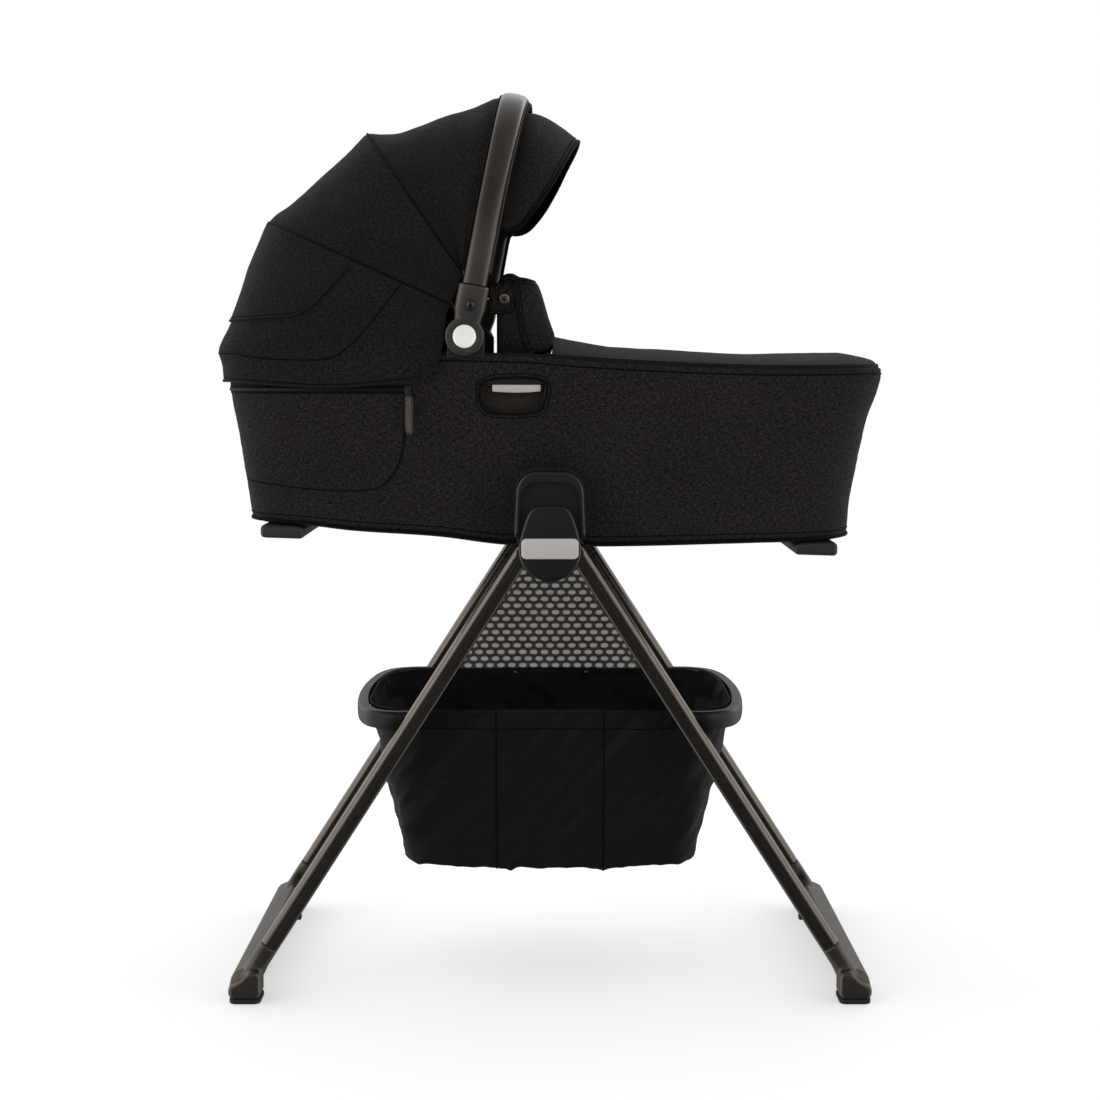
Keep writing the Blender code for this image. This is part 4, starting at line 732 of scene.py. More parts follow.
def basket_bracket(end, e):
    """Bowed end of the basket's ring: a flat bright top face, a rounded outer face and a ledge inside."""
    pts = [(x, -y) for x, y in RING] + [(x, y) for x, y in reversed(RING[:-1])]
    line = smooth_path(pts, 150)
    line[0], line[-1] = pts[0], pts[-1]
    t = np.gradient(line, axis=0)
    t /= np.linalg.norm(t, axis=1, keepdims=True)
    nx, ny = t[:, 1], -t[:, 0]
    outer = [(-0.0055, RING_Z0), (-0.0026, RING_Z0 + 0.0006), (-0.0010, RING_Z0 + 0.0030), (-0.0002, RING_Z0 + 0.0070),
             (0.0, RING_Z0 + 0.0110), (-0.0003, RING_Z1 - 0.0058), (-0.0011, RING_Z1 - 0.0030), (-0.0024, RING_Z1 - 0.0011),
             (-0.0042, RING_Z1 - 0.0002), (-0.0060, RING_Z1)]
    inner = [(-RING_W + 0.0016, RING_Z1), (-RING_W + 0.0005, RING_Z1 - 0.0004), (-RING_W, RING_Z1 - 0.0014),
             (-RING_W, RING_Z1 - 0.0072), (-RING_W + 0.0008, RING_Z1 - 0.0078), (-RING_W + 0.0008, RING_Z0 + 0.0064),
             (-RING_W, RING_Z0 + 0.0058), (-RING_W, RING_Z0 + 0.0015), (-RING_W + 0.0015, RING_Z0)]
    rings = []
    for i in range(len(line)):
        end_k = min(i, len(line) - 1 - i)
        k = 1.0 if end_k > 2 else (0.80, 0.93, 0.98)[end_k]
        rings.append([(e * (line[i, 0] + nx[i] * (o + 0.007) * k - nx[i] * 0.007),
                       line[i, 1] + ny[i] * (o + 0.007) * k - ny[i] * 0.007, 0.341 + (z - 0.341) * k)
                      for o, z in outer + inner])
    o = loft("basket_ring_" + end, rings, M_RING, 40)
    ride(o, end + "_legs", "basket_bracket_" + end)
    for side, s in SIDES:
        # socket screw in the inner face of the leg, below the hub
        x, z = e * 0.0610, 0.5070
        cup = slab_y("leg_screw_%s_%s" % (end, side), circle(x, z, 0.0034, 36), s * 0.2097, s * 0.2086, M_PLASTIC, 0.0005, steps=3)
        carve(cup, slab_y("hex", circle(x, z, 0.0016, 6), s * 0.2080, s * 0.2092, M_PLASTIC))
        ride(cup, end + "_legs")
        # boss between the arm and the leg
        x = e * 0.1660
        boss = slab_y("ring_boss_%s_%s" % (end, side), circle(x, 0.3410, 0.0100, 40), s * 0.2078, s * 0.2094, M_PLASTIC, 0.0004)
        ride(boss, end + "_legs")


for end, e in ENDS:
    for side, s in SIDES:
        leg(end, side, e, s)
    floor_bar(end, e)
    basket_bracket(end, e)


# ----------------------------------------------------------------------------
# Stand: hubs
# ----------------------------------------------------------------------------
def hub(side, s):
    plate = [(-0.0395, 0.5655), (-0.0400, 0.5480), (-0.0365, 0.5400), (-0.0270, 0.5300), (0.0, 0.5225),
             (0.0270, 0.5300), (0.0365, 0.5400), (0.0400, 0.5480), (0.0395, 0.5655)]
    core = slab_y("hub_core_body_" + side, round_corners(plate, 0.006), s * 0.2005, s * 0.2085, M_PLASTIC, 0.0008, 0.0008)
    web = slab_y("web", rounded_rect(0, 0.5455, 0.0185, 0.0195, 0.003), s * 0.2070, s * 0.2330, M_PLASTIC)
    carve(core, web, "UNION")
    post = slab_y("post", round_corners([(-0.0160, 0.5600), (0.0160, 0.5600), (0.0160, 0.6270), (0.0120, 0.6335),
                                         (-0.0120, 0.6335), (-0.0160, 0.6270)], 0.003), s * 0.2100, s * 0.2226,
                  M_PLASTIC, 0.0008, 0.0008)
    carve(core, post, "UNION")
    ride(core, "stand_hub", "hub_core_" + side)

    right = [(0.0140, 0.6045), (0.0205, 0.6022), (0.0258, 0.5960), (0.0298, 0.5860), (0.0334, 0.5745),
             (0.0360, 0.5635), (0.0372, 0.5540)]
    top = [(-0.0140, 0.6045), (0.0, 0.6052)]
    arc = [(HUB_R * math.sin(a), HUB_Z - HUB_R * math.cos(a)) for a in np.radians(np.linspace(84, -84, 25))]
    outline = smooth_path(top + right + arc + [(-x, z) for x, z in reversed(right[1:])], 220, closed=True)
    cap = slab_y("hub_cap_shell_" + side, outline, s * CAP_Y0, s * CAP_Y1, M_SATIN, 0.0032, 0.0004, steps=8, sharp=28)
    ride(cap, "stand_hub", "hub_cap_" + side)
    # fine raised line just inside the cap's edge, in the lighter ring material so that it shows as a light line: a
    # painted highlight on the edge
    line = np.array(offset_outline(outline[::-1], -0.0036))
    rim = tube("hub_cap_highlight_line_" + side, np.stack([line[:, 0], np.full(len(line), s * (CAP_Y1 - 0.0001)), line[:, 1]], 1),
               0.00050, M_RING, 8, closed=True)
    ride(rim, "stand_hub")
    p = slab_y("hub_plate_face_" + side, rounded_rect(0.0, 0.5546, 0.0338, 0.0122, 0.0058, 10), s * (CAP_Y1 - 0.0006),
               s * PLATE_Y1, M_SILVER, 0.0010, 0.0, steps=5)
    ride(p, "stand_hub", "hub_plate_" + side)


for side, s in SIDES:
    hub(side, s)
    for end, e in ENDS:
        # washer between the leg and the cap, on the pin
        w = slab_y("pin_washer_%s_%s" % (end, side), circle(e * LEG_PIVOT_X, LEG_PIVOT_Z, 0.0072, 40), s * 0.2310,
                   s * 0.2330, M_PLASTIC, 0.0004)
        ride(w, "stand_hub")


# ----------------------------------------------------------------------------
# Cot body
# ----------------------------------------------------------------------------
def body_plan(level, inset, count, n=BODY_N):
    """Plan outline of the cot at a level (0 base, 1 rim), moved in by inset."""
    hw = lerp(WALL_LOW_Y, WALL_TOP_Y, level) - inset
    x0, x1 = float(curve(HEAD_X, level)) + inset, float(curve(FOOT_X, level)) - inset
    p = superoval((x1 - x0) / 2, hw, n, 1440)
    p[:, 0] += (x0 + x1) / 2
    return resample(p, count, closed=True)


def body_z(x, level):
    return lerp(curve(BASE_Z, x), curve(RIM_Z, x), level)


def body_ring(level, inset, count, dz=0.0, n=BODY_N):
    p = body_plan(level, inset, count, n)
    return np.stack([p[:, 0], p[:, 1], body_z(p[:, 0], level) + dz], axis=1)


def shell_of(name, P, mat, t, cap0=False, cap1=False, uv_turn=0.0, sharp=60.0):
    """Closed shell round the cot: outer face P (rings by points), inner face t inside it, ends closed across or joined."""
    R, C = P.shape[:2]
    n = normals_of(P, True)
    mid = P.mean(axis=(0, 1))
    if ((P - mid) * n).sum() < 0:
        n = -n
    inner = P - n * (t if np.ndim(t) == 0 else np.asarray(t)[:, None, None])
    verts = np.concatenate([P.reshape(-1, 3), inner.reshape(-1, 3)])
    off = R * C
    faces = [list(f) for f in grid_faces(R, C, closed_cols=True)] + \
            [list(f) for f in grid_faces(R, C, closed_cols=True, start=off, flip=True)]

    def across(first, flip):
        fs = [[first, first + 1, first + C - 1]]
        fs += [[first + k, first + k + 1, first + C - k - 1, first + C - k] for k in range(1, C // 2 - 1)]
        fs.append([first + C // 2 - 1, first + C // 2, first + C // 2 + 1])
        return [f[::-1] for f in fs] if flip else fs

    k = np.arange(C)
    for row, cap in ((0, cap0), (R - 1, cap1)):
        if cap:
            faces += across(row * C, row == 0) + across(row * C + off, row != 0)
        else:
            a, b = row * C + k, row * C + (k + 1) % C
            faces += [list(f) for f in np.stack([a, b, b + off, a + off], axis=1)]
    ring = np.linalg.norm(np.roll(P, -1, axis=1) - P, axis=2).mean(axis=0)
    u = np.concatenate([[0], np.cumsum(ring)[:-1]])[None, :] + np.zeros((R, 1))
    v = np.concatenate([[0], np.cumsum(np.linalg.norm(np.diff(P, axis=0), axis=2).mean(axis=1))])[:, None] + np.zeros((1, C))
    uv = np.stack([u, v], axis=2).reshape(-1, 2)
    o = make(name, verts, faces, mat, np.concatenate([uv, uv]), sharp)
    layer = o.data.uv_layers[0].data
    total = float(ring.sum())
    for p in o.data.polygons:
        us = [layer[i].uv[0] for i in p.loop_indices]
        if max(us) - min(us) > total / 2:
            for i in p.loop_indices:
                if layer[i].uv[0] < total / 2:
                    layer[i].uv[0] += total
    return o


BODY_C = 480


def wall_puff(P, level, amount):
    """Small fullness and creases of the cover, so that it doesn't read as a hard shell."""
    x, y, z = P[..., 0], P[..., 1], P[..., 2]
    a = fuzz(np.stack([x, y, z * 2.2], axis=-1), 1.0, 0.075, 3.0, 2)
    b = fuzz(np.stack([x * 1.0, y, z * 5.0], axis=-1), 1.0, 0.030, 7.0, 2)
    hold = np.sin(np.clip(level, 0, 1) * math.pi) ** 0.7
    return amount * hold * (a * 0.8 + b * 0.30)


def body_cover():
    rows = []
    for inset in (0.178, 0.150, 0.120, 0.090, 0.060, 0.035, 0.020):
        rows.append((0.0, inset, 0.0))
    for k in range(8):
        a = math.pi / 2 * k / 7
        rows.append((0.050 * (1 - math.cos(a)), 0.0110 * (1 - math.sin(a)), 0.0))
    for lv in np.linspace(0.075, 0.955, 46):
        rows.append((lv, 0.0, 0.0))
    # the rolled rim: out a little over its seam, then over and in to the liner
    roll = [(0.968, -0.0002), (0.976, -0.0010), (0.983, -0.0014), (0.990, -0.0011), (0.995, -0.0002), (0.9985, 0.0016),
            (0.9995, 0.0040), (0.9995, 0.0075), (0.9985, 0.0110), (0.9965, 0.0150), (0.9940, 0.0186)]
    rows += [(lv, i, 0.0) for lv, i in roll]
    P = np.array([body_ring(lv, i, BODY_C) for lv, i, _ in rows])
    level = np.array([r[0] for r in rows])[:, None] + np.zeros((1, BODY_C))
    n = normals_of(P, True)
    if ((P - P.mean(axis=(0, 1))) * n).sum() < 0:
        n = -n
    puff = wall_puff(P, level, 0.0011)
    puff[:8] = 0
    P = P + n * puff[..., None]
    o = shell_of("cot_cover", P, M_WEAVE, 0.0022, cap0=True)
    return o, P


WINDOW = [(-0.0765, 0.7149), (-0.0443, 0.7125), (-0.0120, 0.7155), (-0.0070, 0.7255), (-0.0036, 0.7363),
          (-0.0036, 0.7500), (-0.0119, 0.7560), (-0.0370, 0.7576), (-0.0669, 0.7563), (-0.0837, 0.7500),
          (-0.0848, 0.7268)]
window_line = smooth_path(round_corners(WINDOW, 0.006, 4), 120, closed=True)
cover, COVER_P = body_cover()
cover_tree = tree_of(cover)
for side, s in SIDES:
    carve(cover, slab_y("window", window_line, s * 0.185, s * 0.250, M_WEAVE))
cover.data.shade_smooth()
cover.data.set_sharp_from_angle(angle=math.radians(60))
ride(cover, "bassinet", "body_cover")

for side, s in SIDES:
    pts, nrm = onto_side(cover_tree, window_line, s, -0.0004)
    ride(tube("hand_opening_piping_" + side, pts, 0.00145, M_BIND, 10, closed=True), "bassinet")
    outer = offset_outline(window_line if np.cross(window_line[1] - window_line[0], window_line[2] - window_line[1]) > 0
                           else window_line[::-1], 0.0042)
    pts, nrm = onto_side(cover_tree, outer, s, 0.0002)
    ride(tube("hand_opening_seam_" + side, pts, 0.00055, M_THREAD, 6, closed=True), "bassinet")


def level_line(level, inset, count=480, dz=0.0):
    return body_ring(level, inset, count, dz)


# binding round the base, seam under the rim and the roll's own seam
for name, lv, inset, r, mat in (("base_binding", 0.0200, -0.0002, 0.0019, M_BIND), ("base_seam", 0.058, -0.0003, 0.00055, M_THREAD),
                                ("rim_seam", 0.9600, -0.0002, 0.0008, M_THREAD), ("rim_edge_cord", 1.0010, 0.0014, 0.0012, M_PIPING)):
    ride(tube(name, level_line(lv, inset), r, mat, 10, closed=True), "bassinet")

# panel seam on the head half, the same on both sides
panel = smooth_path([(-0.1742, 0.7330), (-0.1752, 0.7100), (-0.1752, 0.6872), (-0.1801, 0.6608), (-0.1880, 0.6428),
                     (-0.2007, 0.6284), (-0.2164, 0.6217), (-0.2537, 0.6199), (-0.2922, 0.6217), (-0.3450, 0.6272),
                     (-0.3780, 0.6306)], 160)
for side, s in SIDES:
    pts, nrm = onto_side(cover_tree, panel, s, 0.0002)
    ride(tube("panel_seam_" + side, pts, 0.0008, M_THREAD, 8), "bassinet")
    pts2 = pts + np.array([0.0016, 0, -0.0004])
    ride(tube("panel_welt_" + side, pts2, 0.0008, M_PIPING, 8), "bassinet")


def zip_path(z, lift):
    """Line round the head end at height z, from the right side to the left."""
    fine = []
    for x in np.linspace(-0.172, -0.345, 70):
        hit, n, _, _ = cover_tree.ray_cast(Vector((x, -0.40, z)), Vector((0, 1, 0)))
        fine.append(hit + n * lift)
    for a in np.linspace(-0.93, 0.93, 90):
        c = Vector((-0.33, 0.0, z))
        d = Vector((-math.cos(a * math.pi / 2), math.sin(a * math.pi / 2) * 1.6, 0)).normalized()
        hit, n, _, _ = cover_tree.ray_cast(c + d * 0.6, -d)
        if hit is not None:
            fine.append(hit + n * lift)
    for x in np.linspace(-0.345, -0.172, 70):
        hit, n, _, _ = cover_tree.ray_cast(Vector((x, 0.40, z)), Vector((0, -1, 0)))
        fine.append(hit + n * lift)
    return resample(np.array(fine), 420)


low, high = zip_path(0.7375, 0.0006), zip_path(0.7478, 0.0006)
mids = [lerp(low, high, k) for k in np.linspace(0, 1, 7)]
n_out = normals_of(np.array(mids))
tape = cloth("zip_tape", np.array(mids), M_TAPE, 0.0008, out=1.0 if (n_out[3, 0] * [0, -1, 0]).sum() > 0 else -1.0)
ride(tape, "bassinet")


def zip_teeth():
    line = resample(zip_path(0.7427, 0.0013), 520)
    t = np.gradient(line, axis=0)
    t /= np.linalg.norm(t, axis=1, keepdims=True)
    up = np.array([0, 0, 1.0])
    verts, faces = [], []
    for i in range(len(line)):
        out = np.cross(up, t[i])
        out /= np.linalg.norm(out)
        if out.dot(line[i] - np.array([-0.2, 0, line[i][2]])) < 0:
            out = -out
        c = line[i] + up * (0.0007 if i % 2 else -0.0007)
        b = len(verts)
        for du in (-0.00036, 0.00036):
            for dz in (-0.0013, 0.0013):
                for do in (-0.0004, 0.0005):
                    verts.append(c + t[i] * du + up * dz + out * do)
        faces += [[b + q for q in f] for f in ((0, 1, 3, 2), (4, 6, 7, 5), (0, 4, 5, 1), (2, 3, 7, 6), (0, 2, 6, 4), (1, 5, 7, 3))]
    o = make("zip_teeth", verts, faces, M_PLASTIC, None, 30, fix=True)
    ride(o, "bassinet")


zip_teeth()


def base_skid(end, x0, x1):
    """Cross rail under the base that the cot stands on when it is off the stand."""
    ys, N = 0.1680, 72
    drop0, drop1 = SKID_Z + SKID_SLOPE * x0, SKID_Z + SKID_SLOPE * x1
    t0, t1 = float(curve(BASE_Z, x0)) - 0.0004, float(curve(BASE_Z, x1)) - 0.0004
    sect = round_corners([(x0, t0), (x0, drop0), (x1, drop1), (x1, t1)], 0.0062, 10)
    sect = resample(sect, N, closed=True)
    body = []
    for y, i in [(-ys + 0.0045 * (1 - math.sin(a)), 0.0045 * (1 - math.cos(a))) for a in np.linspace(math.pi / 2, 0, 8)]:
        body.append((y, i))
    body += [(-y, i) for y, i in reversed(body)]
    out = []
    for y, i in body:
        q = np.array(offset_outline(sect if np.cross(sect[1] - sect[0], sect[2] - sect[1]) > 0 else sect[::-1], -i)) if i > 1e-6 \
            else (sect if np.cross(sect[1] - sect[0], sect[2] - sect[1]) > 0 else sect[::-1])
        out.append(np.stack([q[:, 0], np.full(len(q), y), q[:, 1]], axis=1))
    o = loft("cot_skid_" + end, out, M_SKID, 40)
    ride(o, "bassinet", "base_skid_" + end)


base_skid("head", -0.3548, -0.3018)
base_skid("foot", 0.2996, 0.3526)

# lining: the quilted inner wall and floor of the cot
rows = [(0.0, 0.170, 0.0155), (0.0, 0.130, 0.0155), (0.0, 0.090, 0.0152), (0.0, 0.060, 0.0146), (0.0, 0.0440, 0.0142),
        (0.030, 0.0340, 0.0100), (0.055, 0.0270, 0.0050), (0.080, 0.0225, 0.0010), (0.105, 0.0197, 0.0)]
rows += [(lv, LINER_IN + 0.0004, 0.0) for lv in np.linspace(0.14, 0.95, 34)] + [(0.965, 0.0187, 0), (0.978, 0.0190, 0), (0.986, 0.0198, 0)]
P_LINING = np.array([body_ring(lv, i, 400, dz) for lv, i, dz in rows])
lining = shell_of("cot_lining", P_LINING, M_LINING, 0.0022, cap0=True)
ride(lining, "bassinet", "inner_liner")
for k, lv in enumerate((0.30, 0.58, 0.84)):
    ride(tube("lining_seam_%d" % (k + 1), body_ring(lv, LINER_IN + 0.0030, 400), 0.0006, M_THREAD, 6, closed=True),
         "bassinet")


def mattress():
    """Crowned pad with a corded edge, following the floor of the cot."""
    sect = []
    for k in range(17):
        a = math.pi * k / 16 - math.pi / 2
        sect.append((0.0445 + 0.0065 * (1 - math.cos(a)), 0.0292 + 0.0098 * math.sin(a)))
    N = 320
    rings = [body_ring(0.0, i, N, dz, 4.0) for i, dz in
             [(0.150, 0.0182), (0.110, 0.0182), (0.080, 0.0183), (0.060, 0.0187)] + sect]
    top = [(0.058, 0.0402), (0.070, 0.0415), (0.085, 0.0424), (0.105, 0.0430), (0.130, 0.0434), (0.150, 0.0435)]
    rings += [body_ring(0.0, i, N, dz, 4.0) for i, dz in top]
    P = np.array(rings)
    # stitched channels across the top
    dimple = np.clip((P[..., 2] - body_z(P[..., 0], 0.0) - 0.034) / 0.006, 0, 1)
    w = np.abs(np.sin(P[..., 0] * math.pi / 0.085))
    P[..., 2] -= dimple * 0.0030 * np.exp(-(w / 0.16) ** 2) + dimple * 0.0006 * fuzz(P, 1.0, 0.05, 5.0)
    R, C = P.shape[:2]
    faces = [list(f) for f in grid_faces(R, C, closed_cols=True)]
    for first in (0, (R - 1) * C):
        fs = [[first, first + 1, first + C - 1]]
        fs += [[first + k, first + k + 1, first + C - k - 1, first + C - k] for k in range(1, C // 2 - 1)]
        fs.append([first + C // 2 - 1, first + C // 2, first + C // 2 + 1])
        faces += fs
    uv = P[..., :2].reshape(-1, 2)
    o = make("mattress_pad", P.reshape(-1, 3), faces, M_MATTRESS, uv, 60)
    ride(o, "bassinet", "mattress")
    edge = body_ring(0.0, 0.0447, 400, 0.0292, 4.0)
    ride(tube("mattress_piping", edge, 0.0014, M_MATTRESS, 8, closed=True), "bassinet")


mattress()


# ----------------------------------------------------------------------------
# Cot hardware on each side
# ----------------------------------------------------------------------------
def arch(x_low, z_low, x_high, x_top, z_top, z_side, n=24):
    """Arch in X,Z with a flat foot, counter-clockwise."""
    pts = [(-x_low, z_low), (x_low, z_low), (x_high, z_side)]
    for k in range(1, n + 1):
        a = math.pi / 2 * k / n
        pts.append((x_top + (x_high - x_top) * math.cos(a), z_side + (z_top - z_side) * math.sin(a)))
    for k in range(n, 0, -1):
        a = math.pi / 2 * k / n
        pts.append((-x_top - (x_high - x_top) * math.cos(a), z_side + (z_top - z_side) * math.sin(a)))
    pts.append((-x_high, z_side))
    return pts


def socket(side, s):
    """Arched dock: a moulded rim round a pocket for the hub cap, and a slot for the stand's post."""
    fine = resample(arch(0.0425, 0.5680, 0.0402, 0.0165, 0.6458, 0.6200), 260, closed=True)
    o = slab_y("dock_arch_" + side, fine, s * 0.1850, s * 0.2430, M_SATIN, 0.0030, steps=8, sharp=30)
    slope = (WALL_TOP_Y - WALL_LOW_Y) / (0.7845 - 0.5545)
    for v in o.data.vertices:
        if abs(v.co.y) < 0.1860:
            v.co.y = s * (WALL_LOW_Y + (v.co.z - 0.5540) * slope + 0.0008)
    pocket = resample(arch(0.0385, 0.5600, 0.0352, 0.0150, 0.6335, 0.6120), 240, closed=True)
    carve(o, slab_y("pocket", pocket, s * 0.2325, s * 0.2600, M_SATIN))
    slot = [(-0.0166, 0.5600), (0.0166, 0.5600), (0.0166, 0.6275), (0.0126, 0.6342), (-0.0126, 0.6342), (-0.0166, 0.6275)]
    carve(o, slab_y("slot", slot, s * 0.2094, s * 0.2232, M_SATIN))
    bevel(o, 0.0012, 3, 40)
    bake(o, 30)
    ride(o, "bassinet", "dock_socket_" + side)
    # gasket where the arch meets the cloth
    line = []
    for x, z in resample(offset_outline(fine[::-1] if np.cross(fine[1] - fine[0], fine[2] - fine[1]) < 0 else fine, 0.0006),
                         200, closed=True):
        hit, n, _, _ = cover_tree.ray_cast(Vector((x, s * 0.40, z)), Vector((0, -s, 0)))
        if hit is not None:
            line.append(hit)
    ride(tube("dock_gasket_" + side, line, 0.0012, M_RUBBER, 8), "bassinet")


def release(side, s):
    """Plate behind the hand opening with a hood, its sliding lever, and the ribbed finger pocket behind them."""
    frame_out = rounded_rect(-0.0450, 0.73465, 0.0450, 0.02615, 0.004, 6)
    o = slab_y("release_plate_" + side, frame_out, s * 0.2010, s * 0.2052, M_PLASTIC, 0.0006)
    carve(o, slab_y("hole", rounded_rect(-0.0450, 0.7352, 0.0385, 0.0212, 0.0060, 8), s * 0.195, s * 0.215, M_PLASTIC))
    bevel(o, 0.0005, 2, 40)
    bake(o, 30)
    ride(o, "bassinet", "release_frame_" + side)
    hood = slab_y("release_hood_" + side, round_corners([(-0.0800, 0.7492), (-0.0040, 0.7492), (-0.0060, 0.7560),
                                                         (-0.0160, 0.7590), (-0.0680, 0.7590), (-0.0790, 0.7560)], 0.003),
                  s * 0.2106, s * 0.2124, M_PLASTIC, 0.0008)
    ride(hood, "bassinet")
    bar = smooth_path(round_corners([(-0.0692, 0.7405), (-0.0550, 0.7394), (-0.0401, 0.7390), (-0.0250, 0.7394),
                                     (-0.0110, 0.7405), (-0.0110, 0.7488), (-0.0692, 0.7488)], 0.0016, 4), 120, closed=True)
    lever = slab_y("release_grip_" + side, bar, s * 0.2056, s * 0.2102, M_SILVER, 0.0010, 0.0004, steps=5)
    ride(lever, "lever_" + side, "release_lever_" + side)
    stem = slab_y("release_stem_" + side, rounded_rect(-0.0400, 0.74515, 0.0200, 0.00265, 0.001, 4), s * 0.2016,
                  s * 0.2058, M_SILVER)
    ride(stem, "lever_" + side)
    # finger pocket
    xs = np.linspace(-0.0850, -0.0050, 241)
    zs = np.linspace(0.7120, 0.7585, 40)
    X, Z = np.meshgrid(xs, zs)
    dish = 0.0010 * np.cos((X + 0.045) / 0.04 * math.pi / 2) * np.cos((Z - 0.7352) / 0.0233 * math.pi / 2)
    rib = 0.00035 * np.sin(2 * math.pi * (X + 0.35 * (Z - 0.735)) / 0.0021)
    Y = s * (0.2000 - dish + rib)
    Pk = np.stack([X, Y, Z], axis=2)
    n = normals_of(Pk)
    pk = cloth("finger_pocket_" + side, Pk, M_POCKET, 0.0010, out=1.0 if n[20, 120, 1] * s > 0 else -1.0)
    ride(pk, "bassinet")


M_POCKET = woven("pocket_rib", (0.012, 0.0098, 0.0080), (0.050, 0.041, 0.034), pitch=0.0006, slub=0.0012, long=0.01, sheen=0.1)


def pivot_base(side, s):
    block = [(-0.1225, 0.7878), (-0.0780, 0.7878), (-0.0780, 0.8120)]
    block += [(PIVOT_X + 0.0208 * math.cos(a), PIVOT_Z + 0.0208 * math.sin(a)) for a in np.radians(np.linspace(30, 150, 25))]
    block += [(-0.1225, 0.8120)]
    o = slab_y("pivot_block_" + side, resample(round_corners(block, 0.0012, 3), 200, closed=True), s * 0.2135, s * 0.2265,
               M_PLASTIC, 0.0010, 0.0006)
    lip = slab_y("lip", rounded_rect(-0.10025, 0.78525, 0.02225, 0.00475, 0.0015, 4), s * 0.2232, s * 0.2265, M_PLASTIC, 0.0008)
    carve(o, lip, "UNION")
    carve(o, slab_y("spindle", circle(PIVOT_X, PIVOT_Z, 0.0050, 40), s * 0.2045, s * 0.2325, M_PLASTIC), "UNION")
    ride(o, "bassinet", "pivot_base_" + side)


for side, s in SIDES:
    socket(side, s)
    release(side, s)
    pivot_base(side, s)


# ----------------------------------------------------------------------------
# Apron over the foot half, and its wind flap
# ----------------------------------------------------------------------------
def apron():
    x_head, x_foot = 0.0036, 0.4092
    plan = body_plan(1.0, 0.0025, 2880)
    up = plan[plan[:, 1] > 0]
    up = up[np.argsort(up[:, 0])]
    rows, cols = 150, 161
    xs = x_head + (x_foot - x_head) * np.linspace(0, 1, rows) ** 0.85
    P = np.zeros((rows, cols, 3))
    for i, x in enumerate(xs):
        hw = max(float(np.interp(x, up[:, 0], up[:, 1])), 0.015)
        crown = 0.0135 + 0.0085 * max(0.0, 1 - (x - x_head) / 0.07)
        crown *= math.sqrt(min(1.0, max(0.4105 - x, 0) / 0.045))
        q = np.sin(np.linspace(-1, 1, cols) * math.pi / 2)
        lift = crown * (1 - np.abs(q) ** 2.6)
        close = (1 - np.abs(q) ** 10) * math.sqrt(min(1.0, max(0.4092 - x, 0) / 0.012))
        P[i] = np.stack([np.full(cols, x), hw * q, float(curve(RIM_Z, x)) + 0.0028 + 0.0026 * close + lift], axis=1)
    # its head edge rolls down and in under the wind flap
    head = [P[0].copy() for _ in range(5)]
    base = float(curve(RIM_Z, x_head)) + 0.0026
    for k, (dx, f) in enumerate(((-0.0110, 0.0), (-0.0060, 0.02), (-0.0014, 0.06), (-0.0004, 0.45), (-0.0001, 0.86))):
        head[k][:, 0] += dx
        head[k][:, 2] = base + (head[k][:, 2] - base) * f
    P = np.concatenate([np.array(head), P])
    rows += 5
    edge = 1 - np.abs(np.sin(np.linspace(-1, 1, cols) * math.pi / 2))[None, :] ** 8
    run = np.linspace(0, 1, rows)[:, None]
    wave = fuzz(P * [1.0, 0.55, 0.2], 1.0, 0.09, 11.0) * 0.0016 + fuzz(P * [1.0, 0.8, 0.2], 1.0, 0.035, 13.0) * 0.0005
    P[..., 2] += wave * edge * np.clip(run * 8, 0, 1) * np.clip((1 - run) * 8, 0, 1)
    o = cloth("apron_cover", P, M_WEAVE, 0.0030, out=1.0)
    n = normals_of(P)
    if n[80, 80, 2] < 0:
        bpy.data.objects.remove(o)
        o = cloth("apron_cover", P, M_WEAVE, 0.0030, out=-1.0)
    ride(o, "bassinet", "apron")
    return o, P


apron_obj, APRON_P = apron()
rim = np.concatenate([APRON_P[:, 0], APRON_P[-1, 1:-1], APRON_P[::-1, -1]])
ride(tube("apron_edge_cord", resample(rim - [0, 0, 0.0009], 420), 0.0022, M_PIPING, 12), "bassinet")
inset = np.concatenate([APRON_P[:, 4] + [0, 0, 0.0004], APRON_P[-4, 5:-5], APRON_P[::-1, -5]])
ride(tube("apron_edge_seam", resample(inset, 420), 0.0006, M_THREAD, 6), "bassinet")


